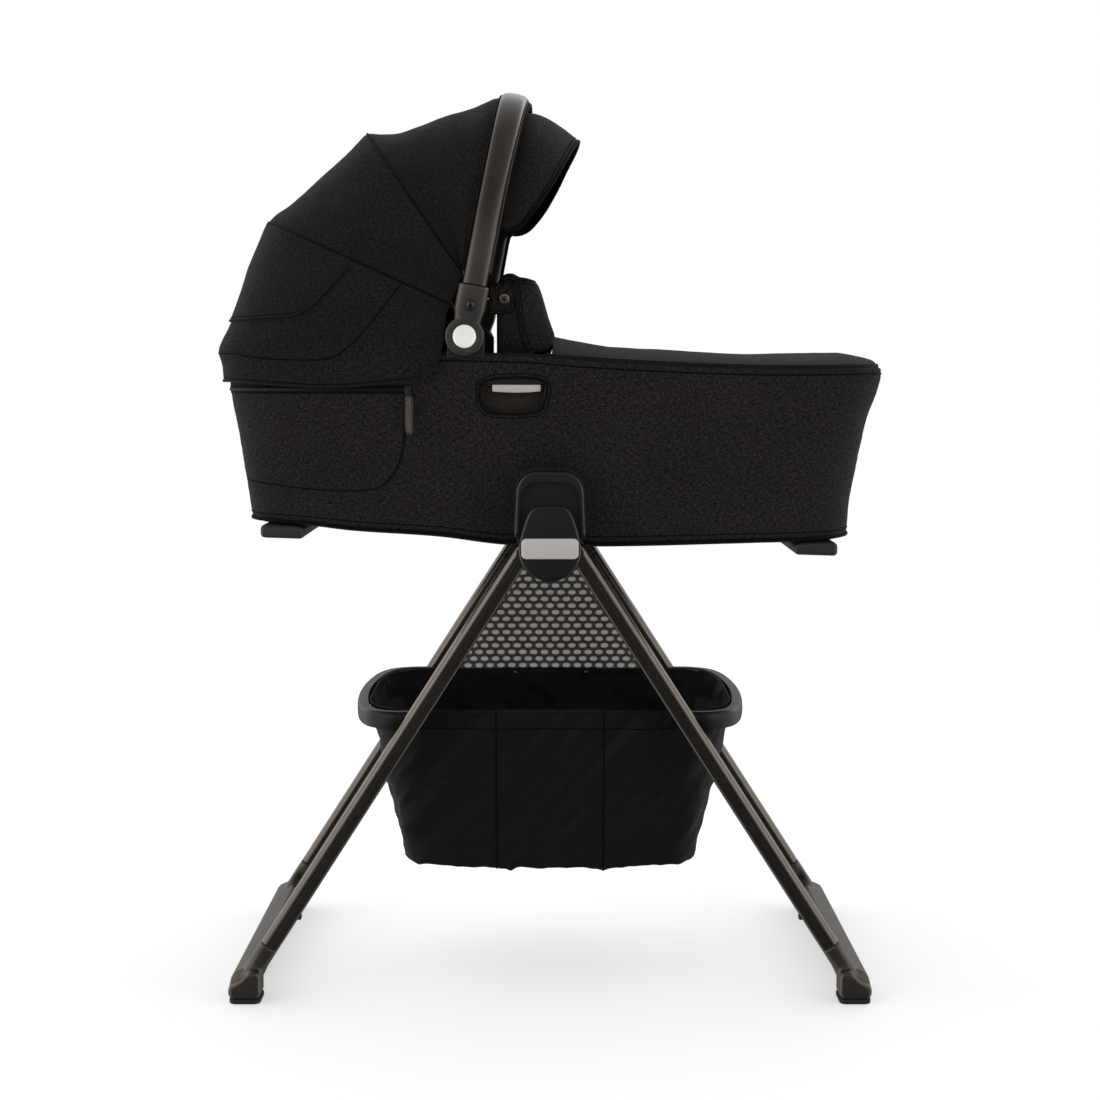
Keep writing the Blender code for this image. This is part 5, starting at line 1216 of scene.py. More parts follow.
def flap_surface(rows=72, cols=260, t=0.0110):
    """The flap's padded section carried round its U-shaped path: rings round the section."""
    r = 0.030
    path = [(x, -0.1960, 0.0, -1.0) for x in np.linspace(-0.0640, -0.0300, 30)]
    path += [(-0.0300 + r * math.sin(a), -0.1960 + r - r * math.cos(a), math.sin(a), -math.cos(a))
             for a in np.radians(np.linspace(3, 90, 28))]
    path += [(0.0, y, 1.0, 0.0) for y in np.linspace(-0.160, 0.0, 60)[1:]]
    path += [(x, -y, nx, -ny) for x, y, nx, ny in reversed(path[:-1])]
    ring_n = 64
    rings = []
    count = len(path)
    for i, (x, y, nx, ny) in enumerate(path):
        e = min(i, count - 1 - i)
        close = math.sqrt(min(1.0, 1 - (1 - min(e / 9.0, 1.0)) ** 2)) if e < 9 else 1.0
        close = max(close, 0.10)
        top = float(curve(((-0.0640, 0.8655), (-0.0560, 0.8770), (-0.0457, 0.8793), (-0.0361, 0.8752), (-0.0204, 0.8737),
                           (0.0, 0.8722)), x))
        low = float(lerp(0.7872, 0.7812, smoothstep(-0.014, -0.030, x)))
        mid, half = (top + low) / 2, (top - low) / 2
        ring = []
        for k in range(ring_n):
            a = 2 * math.pi * k / ring_n
            c, q = math.cos(a), math.sin(a)
            o = math.copysign(abs(c) ** 0.75, c) * 0.5 * t * close
            z = mid + half * math.copysign(abs(q) ** (2 / 5.5), q)
            f = (z - low) / (top - low)
            lean = float(curve(((0.7840, 0.0014), (0.7980, 0.0012), (0.8070, -0.0008), (0.8250, 0.0062), (0.8480, 0.0122),
                                (0.8660, 0.0170), (0.8770, 0.0205)), z)) * max(nx, 0.0)
            swell = 1.0 - 0.30 * abs(2 * f - 1) ** 3
            ring.append((x + nx * o * swell - lean, y + ny * o * swell, z))
        rings.append(ring)
    return np.array(rings), path


def wind_flap():
    rings, path = flap_surface()
    P = rings
    puff = fuzz(P * [1.0, 1.0, 0.7], 1.0, 0.030, 21.0) * 0.0007
    c = P.mean(axis=1, keepdims=True)
    d = P - c
    d[..., 2] *= 0.1
    d /= np.maximum(np.linalg.norm(d, axis=2, keepdims=True), 1e-9)
    P = P + d * puff[..., None]
    R, C = P.shape[:2]
    faces = [list(f) for f in grid_faces(R, C, closed_cols=True)] + [list(range(C))[::-1], list(range((R - 1) * C, R * C))]
    uv = metric_uv(P).reshape(-1, 2)
    o = make("wind_flap_pad", P.reshape(-1, 3), faces, M_WEAVE, uv, 70)
    ride(o, "wind_flap", "wind_flap")
    # corded edge round the top and down the wings' ends, and a doubled seam inside it on both faces
    top = P[:, C // 4]
    ride(tube("wind_flap_cord", top + [0, 0, 0.0002], 0.0016, M_PIPING, 10), "wind_flap")
    for name, k in (("outer", C // 4 - 5), ("inner", C // 4 + 5)):
        for q, off in (("a", 0), ("b", 3 if name == "inner" else -3)):
            line = P[4:-4, k + off]
            n = line - c[4:-4, 0]
            n[:, 2] = 0
            n /= np.maximum(np.linalg.norm(n, axis=1, keepdims=True), 1e-9)
            ride(tube("wind_flap_seam_%s_%s" % (name, q), line + n * 0.0001, 0.0006, M_THREAD, 6), "wind_flap")
    return P


FLAP_P = wind_flap()
flap_tree = tree_of(bpy.data.objects["wind_flap_pad"])

for side, s in SIDES:
    # corded seam down the wing, between its narrow head panel and the padded rest
    path = smooth_path([(-0.0425, 0.8740), (-0.0405, 0.8560), (-0.0382, 0.8350), (-0.0350, 0.8150), (-0.0295, 0.7960),
                        (-0.0270, 0.7885)], 70)
    line, n = onto_side(flap_tree, path, s, 0.0)
    ride(tube("wing_cord_" + side, line + n * 0.0004, 0.0014, M_PIPING, 10), "wind_flap")
    for tag, off in (("a", -0.0019), ("b", 0.0019), ("c", 0.0052)):
        side_line, n = onto_side(flap_tree, path + [off, 0], s, 0.0)
        ride(tube("wing_seam_%s_%s" % (tag, side), side_line + n * 0.0002, 0.0005, M_THREAD, 6), "wind_flap")
    # snap tab on the wing's head end
    tab = round_corners([(-0.0728, 0.8330), (-0.0440, 0.8350), (-0.0420, 0.8650), (-0.0480, 0.8700), (-0.0720, 0.8690)], 0.0036, 6)
    y0 = 0.2016
    tab = resample(tab, 90, closed=True)
    o = slab_y("snap_tab_" + side, tab, s * (y0 - 0.0012), s * (y0 + 0.0014), M_WEAVE, 0.0008, 0.0008)
    ride(o, "wind_flap")
    ride(tube("snap_tab_edge_" + side, np.stack([tab[:, 0], np.full(90, s * (y0 + 0.0006)), tab[:, 1]], 1), 0.0010, M_BIND, 8,
              closed=True), "wind_flap")
    line = np.array(offset_outline(tab, -0.0026))
    ride(tube("snap_tab_seam_" + side, np.stack([line[:, 0], np.full(len(line), s * (y0 + 0.0014)), line[:, 1]], 1), 0.0004,
              M_THREAD, 6, closed=True), "wind_flap")
    ring = slab_y("snap_ring_" + side, circle(-0.0550, 0.8510, 0.0062, 48), s * (y0 + 0.0010), s * (y0 + 0.0024), M_SNAP, 0.0011, steps=6)
    carve(ring, slab_y("hole", circle(-0.0550, 0.8510, 0.0040, 40), s * (y0 + 0.0016), s * (y0 + 0.0060), M_SNAP))
    ride(ring, "wind_flap")
    stud = slab_y("snap_stud_" + side, circle(-0.0550, 0.8510, 0.0030, 40), s * (y0 + 0.0014), s * (y0 + 0.0026), M_GLOSS, 0.0010, steps=5)
    ride(stud, "wind_flap")


# ----------------------------------------------------------------------------
# Canopy: bow, ribs, fan panels and visor
# ----------------------------------------------------------------------------
def polar(deg, r):
    a = math.radians(deg)
    return (PIVOT_X - r * math.sin(a), PIVOT_Z + r * math.cos(a))


def beside_handle(back, up):
    c, q = math.cos(HANDLE_ANGLE), math.sin(HANDLE_ANGLE)
    return (PIVOT_X - q * up - c * back, PIVOT_Z + c * up - q * back)


def hoop(foot, top, below, width, n, count, shrink=0.0):
    """Hoop across the cot, from the foot on the right side over the top to the left."""
    fx, fz = foot
    length = math.hypot(top[0] - fx, top[1] - fz)
    ux, uz = (top[0] - fx) / length, (top[1] - fz) / length
    radius, w = length + below - shrink, width - shrink
    a0 = math.asin((below / radius) ** (n / 2))
    a = np.linspace(a0, math.pi - a0, 1201)
    c = np.cos(a)
    p = np.stack([-w * np.sign(c) * np.abs(c) ** (2 / n), radius * np.sin(a) ** (2 / n)], axis=1)
    p = resample(p, count)
    return np.stack([fx + ux * (p[:, 1] - below), p[:, 0], fz + uz * (p[:, 1] - below)], axis=1)


CANOPY_R = [(-6.6, 0.3060), (-1.2, 0.2928), (4.6, 0.2845), (12.4, 0.2768), (18.7, 0.2748), (23.7, 0.2812),
            (26.7, 0.2887), (30.0, 0.2842), (36.8, 0.2785), (46.6, 0.2782), (53.1, 0.2825), (60.2, 0.2935),
            (64.0, 0.2918), (70.4, 0.2915), (78.4, 0.2942), (84.9, 0.2985), (90.0, 0.3100)]
MID_FOOT, REAR_FOOT = (-0.1045, 0.8805), (-0.1182, 0.8440)
MID_BELOW, REAR_BELOW = 0.0765, 0.0638
COLS = 221


def spread(rows, count, power=1.0):
    """More rows between the given ones, on smooth curves down each column."""
    P = np.array(rows)
    s = np.concatenate([[0], np.cumsum(np.linalg.norm(np.diff(P, axis=0), axis=2).mean(axis=1))])
    at = np.linspace(0, s[-1], count)
    out = np.zeros((count,) + P.shape[1:])
    for k in range(P.shape[1]):
        for a in range(3):
            out[:, k, a] = curve(np.stack([s, P[:, k, a]], axis=1), at)
    return out


def fan(degs, foot0, foot1, below0, below1, n0, n1):
    rows = []
    for k, deg in enumerate(degs):
        t = (deg - degs[0]) / (degs[-1] - degs[0])
        foot = (lerp(foot0[0], foot1[0], t), lerp(foot0[1], foot1[1], t))
        rows.append(hoop(foot, polar(deg, float(curve(CANOPY_R, deg))), lerp(below0, below1, t), CANOPY_Y,
                         lerp(n0, n1, t), COLS))
    return np.array(rows)


def slack(P, depth, seed, hold=(0.10, 0.10)):
    """Fabric between two hoops: it pulls in a little between them on the sides and gathers near its feet."""
    R, C = P.shape[:2]
    v = np.linspace(0, 1, R)[:, None]
    q = np.linspace(-1, 1, C)[None, :]
    mid = np.sin(np.pi * v) ** 0.8
    side = np.abs(q) ** 2 * (1 - smoothstep(0.93, 1.0, np.abs(q)))
    n = normals_of(P)
    c = P.mean(axis=(0, 1)) * [1, 0, 1]
    if ((P - c) * n).sum() < 0:
        n = -n
    ends = smoothstep(0, hold[0], v) * smoothstep(0, hold[1], 1 - v)
    foot = smoothstep(0.62, 0.97, np.abs(q)) * (1 - smoothstep(0.97, 1.0, np.abs(q)) * 0.5)
    folds = np.sin(v * math.pi * 3.0 + 0.6 * np.sin(q * 5 + seed)) * 0.0011 * foot
    broad = fuzz(P * [1.0, 0.5, 1.0], 1.0, 0.080, seed) * 0.0022
    small = fuzz(P * [1.0, 0.6, 1.0], 1.0, 0.028, seed + 4) * 0.0006
    d = -depth * mid * (0.35 + 0.65 * side) + (folds + broad + small) * ends
    return P + n * d[..., None], n


def fan_part(P, name, mat, t=0.0018):
    n = normals_of(P)
    c = P.mean(axis=(0, 1)) * [1, 0, 1]
    out = 1.0 if ((P - c) * n).sum() > 0 else -1.0
    o = cloth(name, P, mat, t, out=out)
    return o


def weight(o, rows, cols, per_side=2):
    """Works out a weight for each point by its row and checks their count against the mesh; the weights are not stored.
    """
    w = np.repeat(np.linspace(0, 1, rows), cols)
    w = np.tile(w, per_side)
    assert len(w) == len(o.data.vertices), (o.name, len(w), len(o.data.vertices))


FRONT_DEGS = list(np.linspace(-6.6, 26.55, 40))
front = fan(FRONT_DEGS, beside_handle(0.0178, 0.0790), MID_FOOT, 0.0790, MID_BELOW, 2.6, 2.7)
front[0] = hoop(beside_handle(0.0178, 0.0790), beside_handle(0.0178, 0.3060), 0.0790, CANOPY_Y, 2.6, COLS)
middle = fan(list(np.linspace(26.85, 60.05, 44)), (-0.1046, 0.8800), (-0.1181, 0.8446), MID_BELOW, REAR_BELOW, 2.7, 3.0)
rear_table = [((-0.1186, 0.8428), polar(60.35, float(curve(CANOPY_R, 60.35))), 0.0640, 0.2275, 3.0),
              ((-0.1222, 0.8340), polar(66.0, float(curve(CANOPY_R, 66.0))), 0.0720, 0.2275, 3.1),
              ((-0.1244, 0.8230), polar(74.0, float(curve(CANOPY_R, 74.0))), 0.0850, 0.2275, 3.3),
              ((-0.1254, 0.8130), polar(82.0, float(curve(CANOPY_R, 82.0))), 0.1000, 0.2276, 3.6),
              ((-0.1262, 0.8060), polar(87.0, 0.3020), 0.1120, 0.2277, 4.0),
              ((-0.1268, 0.8000), (-0.4135, 0.7970), 0.1250, 0.2279, 4.4),
              ((-0.1280, 0.7930), (-0.4155, 0.7880), 0.1290, 0.2280, 4.5)]
SKIRT_LOW = [(-0.43, 0.7520), (-0.386, 0.7530), (-0.267, 0.7465), (-0.183, 0.7525), (-0.156, 0.7570), (-0.138, 0.7690),
             (-0.130, 0.7860)]
rear_rows = [hoop(f, t, b, w, n, COLS) for f, t, b, w, n in rear_table]
for end_x, k, width in ((-0.4115, 0.55, 0.2272), (-0.4092, 1.0, 0.2264)):
    p = hoop((-0.1292, 0.0), (end_x, 0.0), 0.1300, width, 4.5, COLS)
    p[:, 2] = lerp(0.7905, curve(SKIRT_LOW, p[:, 0]), k)
    rear_rows.append(p)
rear = spread(rear_rows, 84)

front, _ = slack(front, 0.0022, 1.0)
middle, _ = slack(middle, 0.0026, 2.0)
rear, REAR_N = slack(rear, 0.0012, 3.0, hold=(0.08, 0.16))

front_obj = fan_part(front, "canopy_panel_front", M_WEAVE_HOOD_PAINTED_SHADE)
middle_obj = fan_part(middle, "canopy_panel_middle", M_WEAVE_HOOD_PAINTED_SHADE)
rear_obj = fan_part(rear, "canopy_panel_rear", M_WEAVE_HOOD_PAINTED_SHADE)
rear_tree = tree_of(rear_obj)

for o in (front_obj, middle_obj, rear_obj):
    face_inside(o, M_WEAVE_INNER)
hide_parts("canopy_front")
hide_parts("canopy_middle")
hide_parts("canopy_rear")


# piping over the two ribs, the skirt's edge and the bow's two edges
def seam_pair(name, line, body, r=0.0012, lift=0.0):
    ride(tube(name, line, r, M_BIND, 10), body)


mid_line = (front[-1] + middle[0]) / 2
rear_line = (middle[-1] + rear[0]) / 2
seam_pair("mid_rib_piping", mid_line, "mid_bow", 0.0015)
seam_pair("rear_rib_piping", rear_line, "rear_bow", 0.0015)
skirt = rear[-1]
ride(tube("skirt_cord", skirt, 0.0018, M_PIPING, 10), "bassinet")
ride(tube("skirt_seam", rear[-2] + REAR_N[-2] * 0.0002, 0.0006, M_THREAD, 6), "bassinet")


def vent_flap():
    """Panel over the rear of the hood: it hangs from the rear rib and ends in a curved, corded edge."""
    edge = [(-0.2375, 0.8937), (-0.2611, 0.8664), (-0.2852, 0.8414), (-0.3057, 0.8318), (-0.3423, 0.8289),
            (-0.3759, 0.8271), (-0.43, 0.8262)]
    e = np.array(edge)[::-1]
    line_x, line_z = e[:, 0], e[:, 1]
    R, C = rear.shape[:2]
    keep, ends = [], []
    for k in range(C):
        col = rear[:, k]
        zc = curve(np.stack([line_x, line_z], 1), col[:, 0])
        above = (col[:, 2] > zc) & (col[:, 0] < -0.2375)
        if not above[0]:
            continue
        last = int(np.argmin(above)) if not above.all() else R - 1
        a, b = col[last - 1], col[last]
        za, zb = zc[last - 1], zc[last]
        f = (a[2] - za) / max((a[2] - za) - (b[2] - zb), 1e-9)
        keep.append(k)
        ends.append(last - 1 + f)
    rows = 40
    P = np.zeros((rows, len(keep), 3))
    for j, (k, end) in enumerate(zip(keep, ends)):
        at = np.linspace(0.15, max(end, 0.6), rows)
        nrm = REAR_N[:, k]
        for a in range(3):
            P[:, j, a] = np.interp(at, np.arange(R), rear[:, k, a] + nrm[:, a] * 0.0015)
    lift = smoothstep(0.5, 1.0, np.linspace(0, 1, rows))[:, None] * 0.0007
    n = normals_of(P)
    c = P.mean(axis=(0, 1)) * [1, 0, 1]
    out = 1.0 if ((P - c) * n).sum() > 0 else -1.0
    P = P + n * out * (lift + fuzz(P, 1.0, 0.05, 31.0) * 0.0003)[..., None]
    o = cloth("vent_flap", P, M_WEAVE_HOOD_PAINTED_SHADE, 0.0011, out=out)
    return o, P, n * out


vent, VENT_P, VENT_N = vent_flap()
vent_cord = tube("vent_flap_cord", VENT_P[-1], 0.0013, M_PIPING, 10)
vent_seam = tube("vent_flap_seam", VENT_P[-2] + VENT_N[-2] * 0.0002, 0.0005, M_THREAD, 6)

# curved seam of the hood's rear panel, down each side and round the back
seam_xz = smooth_path([(-0.1759, 0.8691), (-0.1998, 0.8390), (-0.2298, 0.8029), (-0.2440, 0.7905), (-0.2598, 0.7804),
                       (-0.2896, 0.7780), (-0.3337, 0.7792), (-0.3720, 0.7835)], 90)
right, _ = onto_side(rear_tree, seam_xz, -1, 0.0002)
left, _ = onto_side(rear_tree, seam_xz, 1, 0.0002)
back = []
for a in np.linspace(-1.0, 1.0, 90):
    c = Vector((-0.30, 0.0, 0.7862))
    d = Vector((-math.cos(a * math.pi / 2 * 0.86), math.sin(a * math.pi / 2 * 0.86) * 1.4, 0)).normalized()
    hit, n, _, _ = rear_tree.ray_cast(c + d * 0.6, -d)
    if hit is not None and hit.x < -0.378:
        back.append(tuple(hit + d * 0.0002))
line = np.concatenate([right, np.array(back), left[::-1]]) if back else right
rear_seam = tube("hood_curved_seam", resample(line, 320), 0.0008, M_THREAD, 6)
rear_welt = tube("hood_curved_welt", resample(line, 320) + [0.0, 0, 0.0016], 0.0007, M_PIPING, 6)


# ---- bow -------------------------------------------------------------------
FRONT = np.array([math.cos(HANDLE_ANGLE), 0, math.sin(HANDLE_ANGLE)])


def handle_section(top, n=44):
    w = lerp(0.0144, 0.0164, float(np.clip((top - 0.35) / 0.4, 0, 1)))
    t = 0.0092
    pts = [(-t, -w * 0.72), (-t, w * 0.72), (-t * 0.62, w * 0.97), (t * 0.20, w), (t * 0.76, w * 0.87), (t * 0.98, w * 0.48),
           (t * 1.03, 0.0), (t * 0.98, -w * 0.48), (t * 0.76, -w * 0.87), (t * 0.20, -w), (-t * 0.62, -w * 0.97)]
    return smooth_path(pts, n, closed=True)


def bow():
    count = 201
    pts = hoop(beside_handle(0, 0.0618), beside_handle(0, HANDLE_R), 0.0618, HANDLE_Y, HANDLE_N, count)
    t = np.gradient(pts, axis=0)
    t /= np.linalg.norm(t, axis=1, keepdims=True)
    out = np.cross(FRONT, t)
    rings = []
    for i in range(count):
        top = 1 - abs(2 * i / (count - 1) - 1)
        rings.append([pts[i] + out[i] * o + FRONT * w for o, w in handle_section(top)])
    o = loft("handle_arch", rings, M_BOW, 40)
    ride(o, "handle", "handle_bow")
    return pts, t, out


BOW, BOW_T, BOW_OUT = bow()
for name, w, o_, r, mat, k0 in (("bow_rear_binding", -0.0166, 0.0030, 0.0019, M_BIND, 4), ("bow_front_welt", 0.0172, 0.0010, 0.0013, M_WELT, 4),
                                ("bow_front_binding", 0.0186, -0.0018, 0.0018, M_BIND, 4)):
    scale = np.clip((1 - np.abs(np.linspace(-1, 1, len(BOW)))) * 1.0, 0, 1)
    ww = np.interp(scale, [0, 0.35, 0.75, 1], [w * 0.90, w * 0.90, w, w])
    line = (BOW + BOW_OUT * o_ + FRONT[None, :] * ww[:, None])[k0:-k0]
    if name == "bow_front_binding":
        r = (r + 0.0018 * smoothstep(0.55, 0.85, scale))[k0:-k0]
    ride(tube(name, line, r, mat, 10), "handle")


def bow_band():
    """Slim gasket round the crown of the bow, where its two mouldings meet."""
    mid = len(BOW) // 2
    sect = np.array(handle_section(1.0, 72))
    rings = []
    for y, k in ((-0.0032, 0.2), (-0.0028, 0.9), (-0.0018, 1.3), (0.0018, 1.3), (0.0028, 0.9), (0.0032, 0.2)):
        q = np.array(offset_outline(sect if np.cross(sect[1] - sect[0], sect[2] - sect[1]) > 0 else sect[::-1], 0.0011 * k))
        rings.append([BOW[mid] + [0, y, 0] + BOW_OUT[mid] * o + FRONT * w for o, w in q])
    ride(loft("bow_crown_band", rings, M_PLASTIC, 40), "handle")


bow_band()


def handle_hub(side, s):
    disc = slab_y("bow_hub_" + side, circle(PIVOT_X, PIVOT_Z, DISC_R, 96), s * 0.2278, s * 0.2418, M_HUB, 0.0020, 0.0006,
                  steps=7, sharp=28)
    rings = []
    table = [(0.0120, 0.0150, 0.2280, 0.2415), (0.0225, 0.0160, 0.2280, 0.2425), (0.0320, 0.0176, 0.2274, 0.2438),
             (0.0560, 0.0176, 0.2262, 0.2448), (0.0600, 0.0174, 0.2263, 0.2447), (0.0608, 0.0166, 0.2268, 0.2440)]
    T = np.array(table)
    for r in np.concatenate([np.linspace(0.0120, 0.0560, 24), [0.0575, 0.0590, 0.0600, 0.0608]]):
        hw, ya, yb = (float(curve(T[:, [0, k]], r)) for k in (1, 2, 3))
        pts = [(-hw, ya + 0.0030), (-hw + 0.0020, ya), (hw - 0.0020, ya), (hw, ya + 0.0030), (hw, yb - 0.0050),
               (hw - 0.0040, yb - 0.0012), (0.0, yb), (-hw + 0.0040, yb - 0.0012), (-hw, yb - 0.0050)]
        pts = smooth_path(pts, 60, closed=True)
        ring = []
        for fwd, y in pts:
            x, z = beside_handle(-fwd, r)
            ring.append((x, s * y, z))
        rings.append(ring)
    sleeve = loft("sleeve", rings, M_HUB, 40)
    carve(disc, sleeve, "UNION")
    carve(disc, slab_y("bore", circle(PIVOT_X, PIVOT_Z, 0.0054, 40), s * 0.2200, s * 0.2350, M_HUB))
    carve(disc, slab_y("recess", circle(PIVOT_X, PIVOT_Z, 0.0146, 72), s * 0.2334, s * 0.2500, M_HUB))
    bevel(disc, 0.0006, 2, 32)
    bake(disc, 30)
    ride(disc, "handle", "handle_hub_" + side)
    # concentric dished button
    prof = [(BUTTON_R, 0.2375), (BUTTON_R, 0.2424), (BUTTON_R - 0.0003, 0.2432), (BUTTON_R - 0.0010, 0.2437),
            (BUTTON_R - 0.0016, 0.2435), (BUTTON_R - 0.0022, 0.2430), (BUTTON_R - 0.0030, 0.24275), (BUTTON_R * 0.66, 0.2426),
            (BUTTON_R * 0.60, 0.2429), (BUTTON_R * 0.54, 0.2427), (BUTTON_R * 0.35, 0.2423), (BUTTON_R * 0.12, 0.2421)]
    rings = [[(x, s * y, z) for x, z in circle(PIVOT_X, PIVOT_Z, r, 72)] for r, y in prof]
    b = loft("fold_button_" + side, rings, M_BUTTON, 50)
    ride(b, "button_" + side, "pivot_button_" + side)
    # ring washer round the button, rivet of the sleeve
    x, z = -0.0938, 0.8426
    outer = slab_y("sleeve_rivet_ring_" + side, circle(x, z, 0.0074, 56), s * 0.2440, s * 0.2462, M_PLASTIC, 0.0010, steps=4)
    ride(outer, "handle")
    dome = slab_y("sleeve_rivet_" + side, circle(x, z, 0.0049, 48), s * 0.2450, s * 0.2482, M_GLOSS, 0.0026, steps=7)
    ride(dome, "handle")
    x, z = -0.0747, 0.9302
    scr = slab_y("arm_screw_" + side, circle(x, z, 0.0036, 40), s * 0.2250, s * 0.2238, M_STEEL, 0.0006, steps=4)
    carve(scr, slab_y("cross", [(x - 0.0020, z - 0.0004), (x + 0.0020, z - 0.0004), (x + 0.0020, z + 0.0004), (x - 0.0020, z + 0.0004)],
                      s * 0.2230, s * 0.2243, M_STEEL))
    ride(scr, "handle")


for side, s in SIDES:
    handle_hub(side, s)

# ---- visor -----------------------------------------------------------------
# its edge runs down from the top and turns back to the bow near its feet
EDGE = [(-0.0605, -0.2196, 0.9385), (-0.0567, -0.2190, 0.9352), (-0.0466, -0.2160, 0.9324), (-0.0352, -0.2120, 0.9368),
        (-0.0262, -0.2080, 0.9475), (-0.0118, -0.2000, 0.9668), (0.0012, -0.1850, 0.9868), (0.0152, -0.1500, 1.0138),
        (0.0275, -0.1000, 1.0376), (0.0345, -0.0500, 1.0525), (0.0370, 0.0, 1.0583), (0.0362, 0.0500, 1.0570),
        (0.0320, 0.0950, 1.0502), (0.0218, 0.1400, 1.0340), (0.0085, 0.1740, 1.0095), (-0.0090, 0.1950, 0.9815),
        (-0.0268, 0.2050, 0.9608), (-0.0383, 0.2110, 0.9545), (-0.0500, 0.2150, 0.9530), (-0.0590, 0.2180, 0.9560)]
edge_line = smooth_path(EDGE, COLS)
bow_line = hoop(beside_handle(-0.0178, 0.1410), beside_handle(-0.0178, 0.2930), 0.1410, 0.2190, 2.6, COLS)
ROWS = 40
v = np.linspace(0, 1, ROWS)[:, None]
q = np.abs(np.linspace(-1, 1, COLS))[None, :]
visor = bow_line[None] * (1 - v[..., None]) + edge_line[None] * v[..., None]
nv = normals_of(visor)
c = visor.mean(axis=(0, 1)) * [1, 0, 1]
if ((visor - c) * nv).sum() < 0:
    nv = -nv
swell = np.sin(np.pi * v ** 0.75) * 0.0068 * (1 - smoothstep(0.45, 0.95, q))
soft = fuzz(visor * [1, 0.5, 1], 1.0, 0.05, 41.0) * 0.0012 * np.sin(np.pi * v)
visor = visor + nv * (swell + soft)[..., None]
visor_obj = fan_part(visor, "visor_fabric", M_WEAVE, 0.0014)
face_inside(visor_obj, M_BIND)
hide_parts("visor_cloth")
hem_r = 0.0023 - 0.0008 * smoothstep(0.9, 1.0, q[0])
ride(tube("visor_hoop", edge_line - nv[-1] * 0.0008, hem_r, M_BIND, 12), "visor", "visor_wire")
bind_line = tube("visor_binding", visor[-4] + nv[-4] * 0.0002, 0.0006, M_THREAD, 8)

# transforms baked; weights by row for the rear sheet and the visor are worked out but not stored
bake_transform(rear_obj)
R = rear.shape[0]
w = np.clip(1 - np.linspace(0, 1, R) / 0.55, 0, 1)
w = np.tile(np.repeat(w * w * (3 - 2 * w), COLS), 2)
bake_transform(middle_obj)
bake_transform(front_obj)
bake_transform(visor_obj)
weight(visor_obj, len(visor), COLS)


def follow(o, source_rows):
    """Bakes a small piece's transform and finds the nearest point of the sheet it lies on for each vertex; no weight is
    stored.
    """
    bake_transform(o)
    src = source_rows
    tree = src["tree"]
    for vert in o.data.vertices:
        _, idx, _ = tree.find(vert.co)


from mathutils.kdtree import KDTree


def source(P, w):
    kd = KDTree(P.shape[0] * P.shape[1])
    flat = P.reshape(-1, 3)
    for i, p in enumerate(flat):
        kd.insert(Vector(p), i)
    kd.balance()
    return {"tree": kd, "w": np.repeat(w, P.shape[1])}


lin = np.clip(1 - np.linspace(0, 1, R) / 0.55, 0, 1)
rear_src = source(rear, lin * lin * (3 - 2 * lin))
for o in (vent, vent_cord, vent_seam, rear_seam, rear_welt):
    follow(o, rear_src)
visor_src = source(visor, np.linspace(0, 1, len(visor)))
follow(bind_line, visor_src)


# ----------------------------------------------------------------------------
# Basket between the legs
# ----------------------------------------------------------------------------
BAG = [(0.1560, 0.1800, 0.1665), (0.1574, 0.1832, 0.1700), (0.1620, 0.1846, 0.1722), (0.1750, 0.1870, 0.1741),
       (0.1970, 0.1925, 0.1780), (0.2205, 0.1992, 0.1795), (0.2620, 0.2105, 0.1830), (0.3030, 0.2200, 0.1868),
       (0.3250, 0.2252, 0.1885), (0.3513, 0.2290, 0.1900)]


